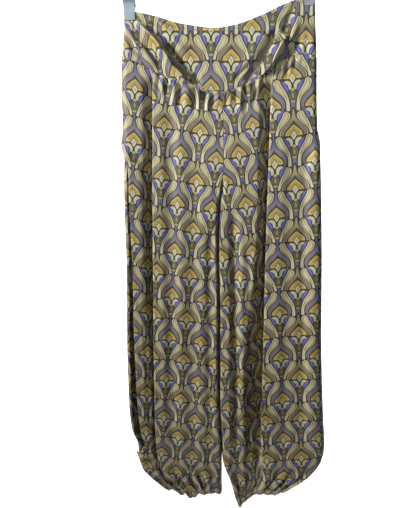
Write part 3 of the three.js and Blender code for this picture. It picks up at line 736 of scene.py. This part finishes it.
def yokePositions(face):
    sideCount, flatCount, rowCount = yokeGrid[face]
    corner = body["sideShare"]
    rounded, flat = np.linspace(0, corner, sideCount + 1), np.linspace(corner, 1, flatCount + 1)
    half = np.concatenate([rounded, flat[1:]])
    level = np.linspace(0, 1, rowCount + 1)[:, None]
    halves = []
    for leg in ("right", "left"):
        share = np.maximum(half if leg == "right" else half[::-1][1:], yokeGrid["leastShare"])[None, :]

        def levelDown(z):
            at = faceBase(leg, face, share, z)[0]
            return mixed(waistLine[face](at), yokeSeam[face](at), level)

        z = settle(yokeGrid["guess"], (rowCount + 1, share.shape[1]), levelDown, 7)
        x, stand, y = faceBase(leg, face, share, z)
        aboveSeam, belowWaist = z - yokeSeam[face](x), waistLine[face](x) - z
        free = (1 - yokeShape["pinchEase"] * pinch(x, z)) * stand ** 2
        relief = creaseHeight(face, x, z) * free * smooth(*yokeShape["aboveSeam"], aboveSeam)
        relief = relief * smooth(*yokeShape["belowWaist"], belowWaist)
        relief = np.maximum(relief, -yokeShape["deepest"] * stand * faceDepth(face, x, z))
        relief = relief - yokeShape["seamDip"] * bell(aboveSeam / yokeShape["seamReach"]) * stand
        relief = relief - yokeShape["rolledEdge"] * bell(belowWaist / yokeShape["rollReach"]) * stand
        y = y - intoHollow(face) * relief
        halves.append((x, y, z, np.minimum(belowWaist, farFromEdge)))
    return [np.concatenate(parts, axis=1) for parts in zip(*halves)]


for face in ("front", "back"):
    x, y, z, edge = yokePositions(face)
    counted = np.full(z.shape, depthCounted["gathers"])
    laid = clothPlaces(x, y, z, grain["yoke", face], counted)
    for corner in yokeCorners if face == "front" else []:
        (x1, z1), (x2, z2) = corner["from"], corner["to"]
        off = ((x - x1) * (z2 - z1) - (z - z1) * (x2 - x1)) / math.hypot(x2 - x1, z2 - z1)
        beyond = clothPlaces(x, y, z, corner["grain"], counted)
        laid = mixed(laid, beyond, smooth(-cornerBlend, cornerBlend, off))
    cloths["yoke", face] = clothSheet(f"yoke{face.title()}", x, y, z, *laid, edge, face == "back")
print("yokes made")

casing = {
    "height": 13, "hang": 0.93, "overlap": 0.8, "rows": 12, "columns": 190, "fullness": 1.3,
    "sideEase": 0.05, "pleats": 23, "pleatDrift": 1.3, "driftRate": 9, "shirring": 0.75, "shirredFrom": 0.2,
    "scallop": 1.3, "seamDip": 1.1, "seamReach": 0.12,
}


def casingPositions(leg):
    place = np.linspace(-1, 1, casing["columns"] + 1)
    share = np.abs(place)
    hem = np.where(place < 0, hemLine[leg]["front"](share), hemLine[leg]["back"](share))
    drift = casing["pleatDrift"] * np.sin(casing["driftRate"] * share + (place > 0))
    pleat = np.sin(2 * math.pi * casing["pleats"] * share + drift)
    ends = smooth(0, casing["sideEase"], share) * smooth(1, 1 - casing["sideEase"], share)
    height = (casing["height"] + casing["scallop"] * (0.5 + 0.5 * pleat)) * casing["hang"]
    rows = []
    for i in range(casing["rows"] + 1):
        run = i / casing["rows"]
        z = hem + casing["overlap"] - run * height
        x, y = aroundLeg(leg, place, z)
        swell = casing["shirring"] * pleat * math.sin(math.pi * mixed(casing["shirredFrom"], 1, run))
        swell = swell - casing["seamDip"] * bell(run / casing["seamReach"])
        rows.append((x, y + np.where(place < 0, -1, 1) * swell * ends, z))
    return [np.array(part) for part in zip(*rows)]


for leg in ("right", "left"):
    x, y, z = casingPositions(leg)
    across = alongRows(x, y) * casing["fullness"]
    edge = np.broadcast_to(np.linspace(0, casing["height"], x.shape[0])[:, None], x.shape)
    piece = clothSheet(f"{leg}AnkleCasing", x, y, z, across, -z, edge, leg == "left")
    # the two ends of the sheet meet inside the leg
    join = bmesh.new()
    join.from_mesh(piece.data)
    bmesh.ops.remove_doubles(join, verts=join.verts, dist=1e-5)
    join.to_mesh(piece.data)
    join.free()
    cloths["casing", leg] = piece
print("ankle casings made")


class Wire:
    # one socket, with the arithmetic that adds its Math nodes
    def __init__(self, bench, socket):
        self.bench, self.socket = bench, socket

    def maths(self, operation, *others):
        return self.bench.node("Math", {"operation": operation}, [self, *others])

    def __add__(self, other):
        return self.maths("ADD", other)

    def __sub__(self, other):
        return self.maths("SUBTRACT", other)

    def __rsub__(self, other):
        return self.bench.node("Math", {"operation": "SUBTRACT"}, [other, self])

    def __mul__(self, other):
        return self.maths("MULTIPLY", other)

    def __truediv__(self, other):
        return self.maths("DIVIDE", other)

    def __abs__(self):
        return self.maths("ABSOLUTE")


class Bench:
    # the node tree of one material
    def __init__(self, name):
        self.material = bpy.data.materials.new(name)
        self.material.use_nodes = True
        self.tree = self.material.node_tree
        self.tree.nodes.clear()

    def node(self, kind, settings=None, inputs=(), output=0):
        made = self.tree.nodes.new("ShaderNode" + kind)
        for key, value in (settings or {}).items():
            if key == "stops":
                while len(made.color_ramp.elements) < len(value):
                    made.color_ramp.elements.new(0.5)
                for stop, (place, colour) in zip(made.color_ramp.elements, value):
                    stop.position, stop.color = place, (*colour, 1)
            elif key == "points":
                line = made.mapping.curves[0]
                line.points[0].location, line.points[-1].location = value[0], value[-1]
                for place in value[1:-1]:
                    line.points.new(*place)
                for point in line.points:
                    point.handle_type = "AUTO_CLAMPED"
                made.mapping.update()
            else:
                setattr(made, key, value)
        named = inputs.items() if isinstance(inputs, dict) else enumerate(inputs)
        for key, value in named:
            if value is None:
                continue
            if isinstance(value, Wire):
                self.tree.links.new(value.socket, made.inputs[key])
            elif isinstance(value, tuple) and len(value) == 3 and made.inputs[key].type == "RGBA":
                made.inputs[key].default_value = (*value, 1)
            else:
                made.inputs[key].default_value = value
        return Wire(self, made.outputs[output]) if made.outputs else None

    def millimetres(self, vector, axes):
        return [self.node("SeparateXYZ", None, [vector], axis) * 1000 for axis in axes]

    def clamped(self, value, times, plus):
        return self.node("Math", {"operation": "MULTIPLY_ADD", "use_clamp": True}, [value, times, plus])

    def step(self, distance, soft=0.5):
        # 0 outside, 1 inside, with a soft edge of this many millimetres
        return self.clamped(distance, 1 / soft, 0.5)

    def least(self, first, *others):
        for other in others:
            first = first.maths("MINIMUM", other)
        return first

    def paint(self, under, over, mask):
        return self.node("Mix", {"data_type": "RGBA"}, {0: mask, 6: under, 7: over}, 2)

    def inked(self, colour, fill, shape, ink):
        # a shape in its fill, on ink that stands this far past its edge
        colour = self.paint(colour, dye["ink"], self.step(shape + ink))
        return self.paint(colour, fill, self.step(shape))

    def profile(self, height, points):
        # a half width that follows height through given points, lowest first
        low, high = points[0][0], points[-1][0]
        tall, widest = high - low, max(width for _, width in points)
        scaled = [((place - low) / tall, width / widest) for place, width in points]
        share = self.clamped(height, 1 / tall, -low / tall)
        return self.node("FloatCurve", {"points": scaled}, [1.0, share]) * widest

    def surface(self, **sockets):
        shader = self.node("BsdfPrincipled", None, sockets)
        self.node("OutputMaterial", None, [shader])
        return self.material


def tone(red, green, blue):
    # a screen colour of 0 to 255 as linear light
    return tuple(((part / 255 + 0.055) / 1.055) ** 2.4 for part in (red, green, blue))


dye = {
    "ink": tone(56, 45, 26), "paddle": tone(198, 190, 150), "core": tone(190, 180, 136),
    "contour": tone(112, 92, 64), "gold": tone(188, 166, 88), "goldDeep": tone(168, 144, 76),
    "goldLine": tone(134, 106, 56), "under": tone(72, 59, 37),
    "diamond": tone(202, 194, 166), "diamondHeart": tone(176, 164, 118), "crescent": tone(186, 183, 152),
    "shade": tone(112, 112, 88), "leaf": tone(106, 104, 182), "leafDeep": tone(80, 79, 142),
    "bud": tone(94, 88, 62), "budHeart": tone(134, 134, 106), "cap": tone(164, 154, 100),
    "patch": tone(98, 100, 148),
}
# half widths of each shape at heights above and below its own diamond, in millimetres
motifs = {
    "first": {
        "dome": [
            (-9, 20.4), (-5, 22.2), (3, 23.4), (10, 22.5), (16, 19.8), (22, 14.6), (27, 9),
            (31, 4.9), (36, 2.7), (45, 1.8), (57, 1.8),
        ],
        "hollow": [
            (-8, 15), (-3, 17), (1, 17.8), (5, 16.9), (10, 13.8), (15, 8.8), (20, 3.8), (25, 0.4), (27, 0),
        ],
        "head": [
            (-60, 5), (-49, 9), (-44, 11.4), (-39, 13.8), (-34, 18.2), (-29, 23.8), (-24, 28.8),
            (-19, 31.6), (-15, 31.8), (-11, 29.6), (-9, 26.8), (-8, 23.6),
        ],
        "waist": [
            (-60, 2.6), (-49, 3.2), (-45, 4.4), (-40, 6), (-35, 7.8), (-30, 9.6), (-25, 12.2), (-20, 15.2),
            (-15, 17.7), (-12, 18.8), (-9.6, 20.8), (-8, 23.6),
        ],
        "floor": -6.4, "top": -8, "tail": -50.4, "spire": 60,
        "band": tone(122, 115, 124), "edge": tone(128, 121, 130), "rim": 1.8, "rimLine": 0.7,
        "crown": tone(98, 98, 146), "crownMiddle": 32, "crownFade": 12,
    },
    "second": {
        "dome": [
            (-3, 25.8), (1, 26.3), (5, 25.9), (10, 23.9), (15, 19.6), (20, 13.9), (26, 7.8), (32, 3.9),
            (40, 2.4), (45, 1.4), (48, 0), (50, 0),
        ],
        "hollow": [
            (-8, 16), (-2, 18), (1, 18.2), (5, 16.6), (10, 12.8), (15, 8.4), (20, 4.2), (25, 0.8), (28, 0),
        ],
        "head": [
            (-60, 11.6), (-50, 13.2), (-40, 13.9), (-35, 16), (-30, 20.6), (-25, 26.4), (-20, 31.2),
            (-15, 34), (-10, 34.6), (-5, 33), (-3, 31), (-1, 27.4),
        ],
        "waist": [
            (-60, 5.6), (-50, 5.6), (-40, 6.8), (-30, 9.4), (-25, 11.6), (-20, 14.4), (-15, 17.6),
            (-10, 20.4), (-5, 22.2), (-3, 23.8), (-1, 27.4),
        ],
        "floor": -0.4, "top": -1, "tail": -58.2, "spire": 48,
        "band": tone(128, 114, 102), "edge": tone(164, 154, 118), "rim": 2.1, "rimLine": 0.95,
        "crown": tone(152, 144, 104), "crownMiddle": 26, "crownFade": 8,
    },
}
goldEdge = [
    (-2, 15), (-0.6, 16), (2, 15.7), (5, 14.3), (8, 11.8), (10, 9.8), (13, 6.6), (15, 4.4), (17, 2.2),
    (19, 0), (21, 0),
]
leafWidth = [(-27.5, 0), (-24, 3), (-20, 5), (-15, 6.2), (-11, 5.8), (-8, 4.6), (-6, 2.8), (-4.4, 0)]
# small round shapes: x, height, half width, half height, and the radius that sets their edge distances
rounds = {
    "curl": (10.2, -14, 8.2, 9.4, 8.6), "dip": (14.4, -17.8, 6.9, 8.2, 7.4),
    "bud": (0, -32, 7.6, 10, 7.6), "budHeart": (0, -31, 2, 5, 2),
}
# small straight-sided ones: height, half width, half height, narrowing
bars = {"cap": (-20.8, 3.9, 2.5, 0.7), "foot": (-42, 4.2, 1.7, 0.5)}
diamondShape = {"height": -0.8, "half": 5.4, "narrowing": 0.62, "slant": 0.85, "heart": 2.1}
# how far the ink stands past the edge of each shape
inkPast = {
    "paddle": 1.9, "dome": 1.9, "hollow": 1.2, "curl": 1.1, "dip": 0.9, "leaf": 0.9, "bud": 0.8,
    "diamond": 1.2,
}
# slants turn widths and heights into nearly true distances from a sloping edge
drawing = {
    "innerSlant": 0.8, "outerSlant": 0.75, "endSlant": 1.6, "paddleEase": 0.3, "domeEase": 0.2,
    "lowFrom": -66, "highTo": 61, "headsFrom": 9, "coreInset": 3.2, "rimHalf": 0.45,
    "contourInset": 2.5, "contourHalf": 0.62, "contourFrom": -40, "contourShare": 0.85,
    "patchTop": -44.6, "patchHalf": 6.4, "patchInset": 0.9,
    "hollowTop": 25.5, "hollowFoot": -8, "hollowInset": 0.9,
    "goldTop": 19, "goldFoot": -1.2, "goldRim": 3.6, "goldRimHalf": 0.3, "goldRimShare": 0.8, "goldDeep": 3.8,
    "leavesTop": -2.6, "curlFoot": -20.4, "dipInset": 0.6, "leafFoot": -27.5, "leafLight": 1.2,
    "budInset": 1, "budRim": 3.1, "budRimHalf": 0.5, "budRimShare": 0.6,
}


def roundShape(bench, x, up, name):
    atX, atUp, wide, tall, radius = rounds[name]
    spot = bench.node("CombineXYZ", None, [(x - atX) / wide, (up - atUp) / tall, 0.0])
    return (1 - bench.node("VectorMath", {"operation": "LENGTH"}, [spot], "Value")) * radius


def barShape(bench, x, up, name):
    height, half, halfTall, narrowing = bars[name]
    off = abs(up - height)
    return bench.least(half - x - off * narrowing, halfTall - off)


def motifRows(bench, across, up):
    # both rows of motifs, each with its own centre line and the shapes that the rest hang from
    rows = []
    for name, shift in (("first", 0), ("second", 0.5)):
        motif = motifs[name]
        u, v = across + shift * printRepeat["across"], up + shift * printRepeat["down"]
        half, tall = printRepeat["across"] / 2, printRepeat["down"]
        x = abs(u.maths("WRAP", half, -half))
        low = v.maths("WRAP", drawing["lowFrom"] + tall, drawing["lowFrom"])
        high = v.maths("WRAP", drawing["highTo"], drawing["highTo"] - tall)
        waist, head = bench.profile(low, motif["waist"]), bench.profile(low, motif["head"])
        paddle = bench.least(
            (x - waist) * drawing["innerSlant"] - drawing["paddleEase"],
            (head - x) * drawing["outerSlant"] - drawing["paddleEase"],
            (low - motif["tail"]) * drawing["endSlant"], (motif["top"] - low) * drawing["endSlant"],
        )
        rows.append({"motif": motif, "x": x, "low": low, "high": high, "waist": waist, "paddle": paddle})
    return rows


def patchOn(bench, colour, row):
    within = row["waist"] - drawing["patchInset"] - row["x"]
    patch = bench.least(within, drawing["patchTop"] - row["low"], drawing["patchHalf"] - row["x"])
    return bench.paint(colour, dye["patch"], bench.step(patch))


def paddlesOn(bench, colour, row):
    return bench.inked(colour, dye["paddle"], row["paddle"], inkPast["paddle"])


def domeOn(bench, colour, row):
    motif, x, high = row["motif"], row["x"], row["high"]
    dome = (bench.profile(high, motif["dome"]) - x) * drawing["outerSlant"] - drawing["domeEase"]
    dome = bench.least(dome, (high - motif["floor"]) * drawing["endSlant"], motif["spire"] - high)
    band = bench.paint(motif["edge"], motif["band"], bench.step(dome - motif["rim"]))
    rimLine = bench.step(drawing["rimHalf"] - abs(dome - motif["rim"]), 0.4) * motif["rimLine"]
    band = bench.paint(band, dye["under"], rimLine)
    band = bench.paint(band, motif["crown"], bench.step(high - motif["crownMiddle"], motif["crownFade"]))
    colour = bench.inked(colour, band, dome, inkPast["dome"])
    hollow = (bench.profile(high, motif["hollow"]) - x) * drawing["innerSlant"]
    hollow = bench.least(hollow, drawing["hollowTop"] - high, high - drawing["hollowFoot"])
    colour = bench.inked(colour, dye["under"], hollow - drawing["hollowInset"], inkPast["hollow"])
    gold = (bench.profile(high, goldEdge) - x) * drawing["innerSlant"]
    gold = bench.least(gold, high - drawing["goldFoot"], drawing["goldTop"] - high)
    heart = bench.paint(dye["gold"], dye["goldDeep"], bench.step(gold - drawing["goldDeep"], 0.8))
    goldRim = bench.step(drawing["goldRimHalf"] - abs(gold - drawing["goldRim"])) * drawing["goldRimShare"]
    heart = bench.paint(heart, dye["goldLine"], goldRim)
    return bench.paint(colour, heart, bench.step(gold))


def headsOn(bench, colour, row):
    # the round heads of the paddles lie over everything beside them
    paddle, low = row["paddle"], row["low"]
    head = bench.step(low - row["motif"]["top"] + drawing["headsFrom"])
    inside = bench.step(paddle)
    colour = bench.paint(colour, dye["ink"], (bench.step(paddle + inkPast["paddle"]) - inside) * head)
    colour = bench.paint(colour, dye["paddle"], inside * head)
    colour = bench.paint(colour, dye["core"], bench.step(paddle - drawing["coreInset"], 1.2))
    contour = bench.step(drawing["contourHalf"] - abs(paddle - drawing["contourInset"]), 0.6)
    contour = contour * bench.step(low - drawing["contourFrom"], 10) * drawing["contourShare"]
    return bench.paint(colour, dye["contour"], contour)


def leavesOn(bench, colour, row):
    # a cream leaf curls over a grey-green one, with a violet leaf beside them and a plain bud on the stem
    x, low = row["x"], row["low"]
    beyondInk = row["waist"] - inkPast["paddle"]
    within = bench.least(beyondInk - x, drawing["leavesTop"] - low)
    curl = bench.least(roundShape(bench, x, low, "curl"), within, low - drawing["curlFoot"])
    colour = bench.inked(colour, dye["crescent"], curl, inkPast["curl"])
    dip = bench.least(roundShape(bench, x, low, "dip"), within)
    colour = bench.inked(colour, dye["shade"], dip - drawing["dipInset"], inkPast["dip"])
    leaf = bench.least(within, x + bench.profile(low, leafWidth) - beyondInk)
    leafInk = bench.step(leaf + inkPast["leaf"]) * bench.step(low - drawing["leafFoot"])
    colour = bench.paint(colour, dye["ink"], leafInk)
    blade = bench.paint(dye["leafDeep"], dye["leaf"], bench.step(leaf - drawing["leafLight"], 1.4))
    colour = bench.paint(colour, blade, bench.step(leaf))
    bud = bench.least(roundShape(bench, x, low, "bud"), row["waist"] - drawing["budInset"] - x)
    colour = bench.inked(colour, dye["bud"], bud, inkPast["bud"])
    budRim = bench.step(drawing["budRimHalf"] - abs(bud - drawing["budRim"]), 0.7) * drawing["budRimShare"]
    colour = bench.paint(colour, dye["ink"], budRim)
    colour = bench.paint(colour, dye["budHeart"], bench.step(roundShape(bench, x, low, "budHeart")))
    for name in bars:
        colour = bench.paint(colour, dye["cap"], bench.step(barShape(bench, x, low, name)))
    return colour


def diamondOn(bench, colour, row):
    narrowed = abs(row["high"] - diamondShape["height"]) * diamondShape["narrowing"]
    diamond = (diamondShape["half"] - row["x"] - narrowed) * diamondShape["slant"]
    colour = bench.inked(colour, dye["diamond"], diamond, inkPast["diamond"])
    return bench.paint(colour, dye["diamondHeart"], bench.step(diamond - diamondShape["heart"], 1))


def printedColour(bench, across, up):
    rows = motifRows(bench, across, up)
    colour = dye["ink"]
    for laidOn in (patchOn, paddlesOn, domeOn, headsOn, leavesOn, diamondOn):
        for row in rows:
            colour = laidOn(bench, colour, row)
    return colour


clothFinish = {
    "roughness": (0.51, 0.62), "sheen": 0.15, "sheenRoughness": 0.45, "specular": 0.5, "relief": 0.55,
    "fadeScale": 9.0, "fade": (0.93, 1.05), "reverse": tone(176, 170, 146), "reverseShare": 0.45,
    "knitWidth": 0.9, "knitTall": 0.72, "knitLean": 1.6, "knitDepth": 0.00004,
    "thread": tone(92, 84, 62), "stitchInset": 7, "stitchPitch": 3.4, "stitchHalf": (0.42, 1.25),
    "stitchDepth": 0.0002,
}


def printedCloth(name, reverse=False):
    bench = Bench(name)
    across, up = bench.millimetres(bench.node("UVMap", {"uv_map": "cloth"}), "XY")
    colour = printedColour(bench, across, up)
    place = bench.node("TexCoord", None, [], "Object")
    fadeInputs = {"Vector": place, "Scale": clothFinish["fadeScale"], "Detail": 3.0, "Roughness": 0.55}
    fade = bench.node("TexNoise", {"noise_dimensions": "3D"}, fadeInputs)
    soft = bench.node("MapRange", None, [fade, 0.3, 0.7, *clothFinish["fade"]])
    colour = bench.node("VectorMath", {"operation": "SCALE"}, {0: colour, "Scale": soft})
    if reverse:
        colour = bench.paint(colour, clothFinish["reverse"], clothFinish["reverseShare"])
    edge = bench.node("Attribute", {"attribute_name": "edge"}, [], "Fac") * 1000
    halfPitch = clothFinish["stitchPitch"] / 2
    dash = abs(up.maths("WRAP", halfPitch, -halfPitch))
    halfWide, halfLong = clothFinish["stitchHalf"]
    stitch = bench.step(halfWide - abs(edge - clothFinish["stitchInset"]), 0.3)
    stitch = stitch * bench.step(halfLong - dash, 0.4)
    colour = bench.paint(colour, clothFinish["thread"], stitch)
    rib = (across * (2 * math.pi / clothFinish["knitWidth"])).maths("SINE")
    loop = (up * (2 * math.pi / clothFinish["knitTall"]) + abs(rib) * clothFinish["knitLean"]).maths("SINE")
    bumps = (rib + loop) * (clothFinish["knitDepth"] / 2) - stitch * clothFinish["stitchDepth"]
    normal = bench.node("Bump", None, {"Strength": clothFinish["relief"], "Distance": 1.0, "Height": bumps})
    gloss = bench.node("MapRange", None, [fade, 0.2, 0.8, *clothFinish["roughness"]])
    return bench.surface(**{
        "Base Color": colour, "Roughness": gloss, "Normal": normal,
        "Sheen Weight": clothFinish["sheen"], "Sheen Roughness": clothFinish["sheenRoughness"],
        "Specular IOR Level": clothFinish["specular"],
    })


faceCloth = printedCloth("printedJersey")
reverseCloth = printedCloth("printedJerseyReverse", True)
for piece in cloths.values():
    piece.data.materials.append(faceCloth)
    piece.data.materials.append(reverseCloth)
print("cloth printed")


# the two clips' plastic, with the height where it darkens and the moulded dots' x and z
plastics = {
    "clip_right": {
        "name": "clipRightPlastic", "plain": tone(160, 176, 182), "shaded": tone(138, 154, 162),
        "upper": tone(112, 124, 134), "upperFrom": -132,
        "dot": tone(52, 56, 62), "dots": [(-150.6, -124), (-150.6, -136)],
    },
    "clip_left": {
        "name": "clipLeftPlastic", "plain": tone(132, 124, 138), "shaded": tone(112, 104, 118),
        "upper": tone(92, 86, 98), "upperFrom": -118,
        "dot": tone(44, 42, 48), "dots": [(160, -112), (160, -124)],
    },
}
clipFinish = {
    "roughness": (0.26, 0.44), "grain": 140.0, "clouds": 26.0, "relief": 0.0001, "coat": 0.25,
    "dotRadius": 1.6, "bandFade": 3,
}
wireFinish = {
    "colour": tone(206, 208, 212), "roughness": (0.14, 0.3), "scratches": 160.0, "drawnOut": 6.0,
    "relief": 0.00005,
}


def clipPlastic(look):
    bench = Bench(look["name"])
    place = bench.node("TexCoord", None, [], "Object")
    pitted = bench.node("TexNoise", None, {"Vector": place, "Scale": clipFinish["grain"], "Detail": 4.0})
    clouds = bench.node("TexNoise", None, {"Vector": place, "Scale": clipFinish["clouds"], "Detail": 2.0})
    x, z = bench.millimetres(place, "XZ")
    colour = bench.node("ValToRGB", {"stops": [(0.3, look["shaded"]), (0.7, look["plain"])]}, [clouds])
    colour = bench.paint(colour, look["upper"], bench.step(z - look["upperFrom"], clipFinish["bandFade"]))
    for atX, atZ in look["dots"]:
        spot = bench.node("CombineXYZ", None, [x - atX, z - atZ, 0.0])
        spot = clipFinish["dotRadius"] - bench.node("VectorMath", {"operation": "LENGTH"}, [spot], "Value")
        colour = bench.paint(colour, look["dot"], bench.step(spot, 0.6))
    gloss = bench.node("MapRange", None, [pitted, 0.2, 0.8, *clipFinish["roughness"]])
    height = pitted * clipFinish["relief"]
    normal = bench.node("Bump", None, {"Strength": 0.2, "Distance": 1.0, "Height": height})
    return bench.surface(**{
        "Base Color": colour, "Roughness": gloss, "Normal": normal, "Coat Weight": clipFinish["coat"],
    })


def brightWire():
    bench = Bench("brightWire")
    place = bench.node("TexCoord", None, [], "Object")
    stretch = (1.0, 1.0, wireFinish["drawnOut"])
    drawn = bench.node("Mapping", None, [place, None, None, stretch])
    noise = {"Vector": drawn, "Scale": wireFinish["scratches"], "Detail": 5.0}
    scratches = bench.node("TexNoise", None, noise)
    gloss = bench.node("MapRange", None, [scratches, 0.2, 0.8, *wireFinish["roughness"]])
    height = scratches * wireFinish["relief"]
    normal = bench.node("Bump", None, {"Strength": 0.15, "Distance": 1.0, "Height": height})
    return bench.surface(**{
        "Base Color": wireFinish["colour"], "Metallic": 1.0, "Roughness": gloss, "Normal": normal,
    })


finishes = {clip: clipPlastic(look) for clip, look in plastics.items()}
wire = brightWire()
for name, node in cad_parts.items():
    if not name.startswith(("hanger", "clip")):
        continue
    finish = wire if name.endswith("pin") else finishes.get(name.rsplit("_", 1)[0], wire)
    node.data.materials.clear()
    node.data.materials.append(finish)
print("hanger finished")


# the sweep's floor, back wall and front edge, in metres
studio = {"floor": -1.9, "wall": 1.9, "front": -0.7, "width": 5.4, "top": 1.6, "bend": 0.9, "bendSteps": 12}
# the lamps: place, target, width, height, watts, spread in degrees, colour
lamps = {
    "keyLight": ((-2.25, -1.5, 0.3), (1.05, 0, 0.05), 0.6, 0.6, 26, 78, (1, 1, 1)),
    "frontFill": ((0, -2.7, 0.3), (0, 0, 0.12), 0.6, 0.6, 1.35, 75, (1, 1, 1)),
    "yokeFill": ((0.75, -1.8, 0.15), (0.18, 0, -0.14), 0.9, 0.5, 0.44, 32, (0.76, 0.9, 1)),
    "backdropLeft": ((-1.9, 0.9, 0.2), (-0.3, 1.9, -0.9), 0.8, 2.4, 40, 80, (1, 1, 1)),
    "backdropRight": ((1.9, 0.9, 0.2), (0.3, 1.9, -0.9), 0.8, 2.4, 40, 80, (1, 1, 1)),
}
roomLight = 0.02
view = {"place": (-0.024, -0.9, -0.34), "pitch": 15.066, "lens": 33.307, "sensor": 36, "nearest": 0.01}


def studioSweep():
    sweep = bmesh.new()
    bend, steps = studio["bend"], studio["bendSteps"]
    profile = [(studio["front"], studio["floor"])]
    for i in range(steps + 1):
        turn = i / steps * math.pi / 2
        wallGap, rise = bend * (1 - math.sin(turn)), bend * (1 - math.cos(turn))
        profile.append((studio["wall"] - wallGap, studio["floor"] + rise))
    profile.append((studio["wall"], studio["top"]))
    line = [sweep.verts.new((-studio["width"] / 2, y, z)) for y, z in profile]
    edges = [sweep.edges.new(pair) for pair in zip(line, line[1:])]
    grown = bmesh.ops.extrude_edge_only(sweep, edges=edges)["geom"]
    moved = [item for item in grown if isinstance(item, bmesh.types.BMVert)]
    bmesh.ops.translate(sweep, verts=moved, vec=(studio["width"], 0, 0))
    bmesh.ops.recalc_face_normals(sweep, faces=sweep.faces)
    mesh = bpy.data.meshes.new("studioSweep")
    sweep.to_mesh(mesh)
    sweep.free()
    for face in mesh.polygons:
        face.use_smooth = True
    made = bpy.data.objects.new("studioSweep", mesh)
    bpy.context.scene.collection.objects.link(made)
    bench = Bench("paleSweep")
    bench.surface(**{"Base Color": (0.93, 0.93, 0.93), "Roughness": 0.9})
    mesh.materials.append(bench.material)


studioSweep()
for name, (place, target, width, height, watts, spread, colour) in lamps.items():
    lamp = bpy.data.lights.new(name, "AREA")
    lamp.shape, lamp.size, lamp.size_y = "RECTANGLE", width, height
    lamp.energy, lamp.spread, lamp.color = watts, math.radians(spread), colour
    made = bpy.data.objects.new(name, lamp)
    made.location = place
    made.rotation_euler = (Vector(target) - Vector(place)).to_track_quat("-Z", "Y").to_euler()
    bpy.context.scene.collection.objects.link(made)

world = bpy.data.worlds.new("paleRoom")
world.use_nodes = True
world.node_tree.nodes["Background"].inputs[0].default_value = (1, 1, 1, 1)
world.node_tree.nodes["Background"].inputs[1].default_value = roomLight
bpy.context.scene.world = world
bpy.context.scene.view_settings.view_transform = "Standard"

lensData = bpy.data.cameras.new("viewCamera")
lensData.lens, lensData.sensor_width, lensData.clip_start = view["lens"], view["sensor"], view["nearest"]
camera = bpy.data.objects.new("viewCamera", lensData)
camera.location = view["place"]
camera.rotation_euler = (math.radians(90 - view["pitch"]), 0, 0)
bpy.context.scene.collection.objects.link(camera)
bpy.context.scene.camera = camera
print("studio set")


# the node that each piece stands for, the flat size it was cut to in metres, and the area of a cut that isn't
# a rectangle
cuts = {
    ("right", "front"): ("leg_right_front", (0.265, 0.91), 0.205),
    ("right", "back"): ("leg_right_back", (0.275, 0.91), 0.215),
    ("left", "front"): ("leg_left_front", (0.285, 0.96), 0.235),
    ("left", "back"): ("leg_left_back", (0.275, 0.96), 0.225),
    ("yoke", "front"): ("yoke_front", (0.35, 0.16), 0.033),
    ("yoke", "back"): ("yoke_back", (0.35, 0.14), 0.027),
    ("casing", "right"): ("ankle_casing_right", (0.32, 0.016), None),
    ("casing", "left"): ("ankle_casing_left", (0.32, 0.016), None),
}
for key, (node, flat, area) in cuts.items():
    piece = cloths[key]
    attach(piece, "root")
    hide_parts(node)

print("pieces placed")
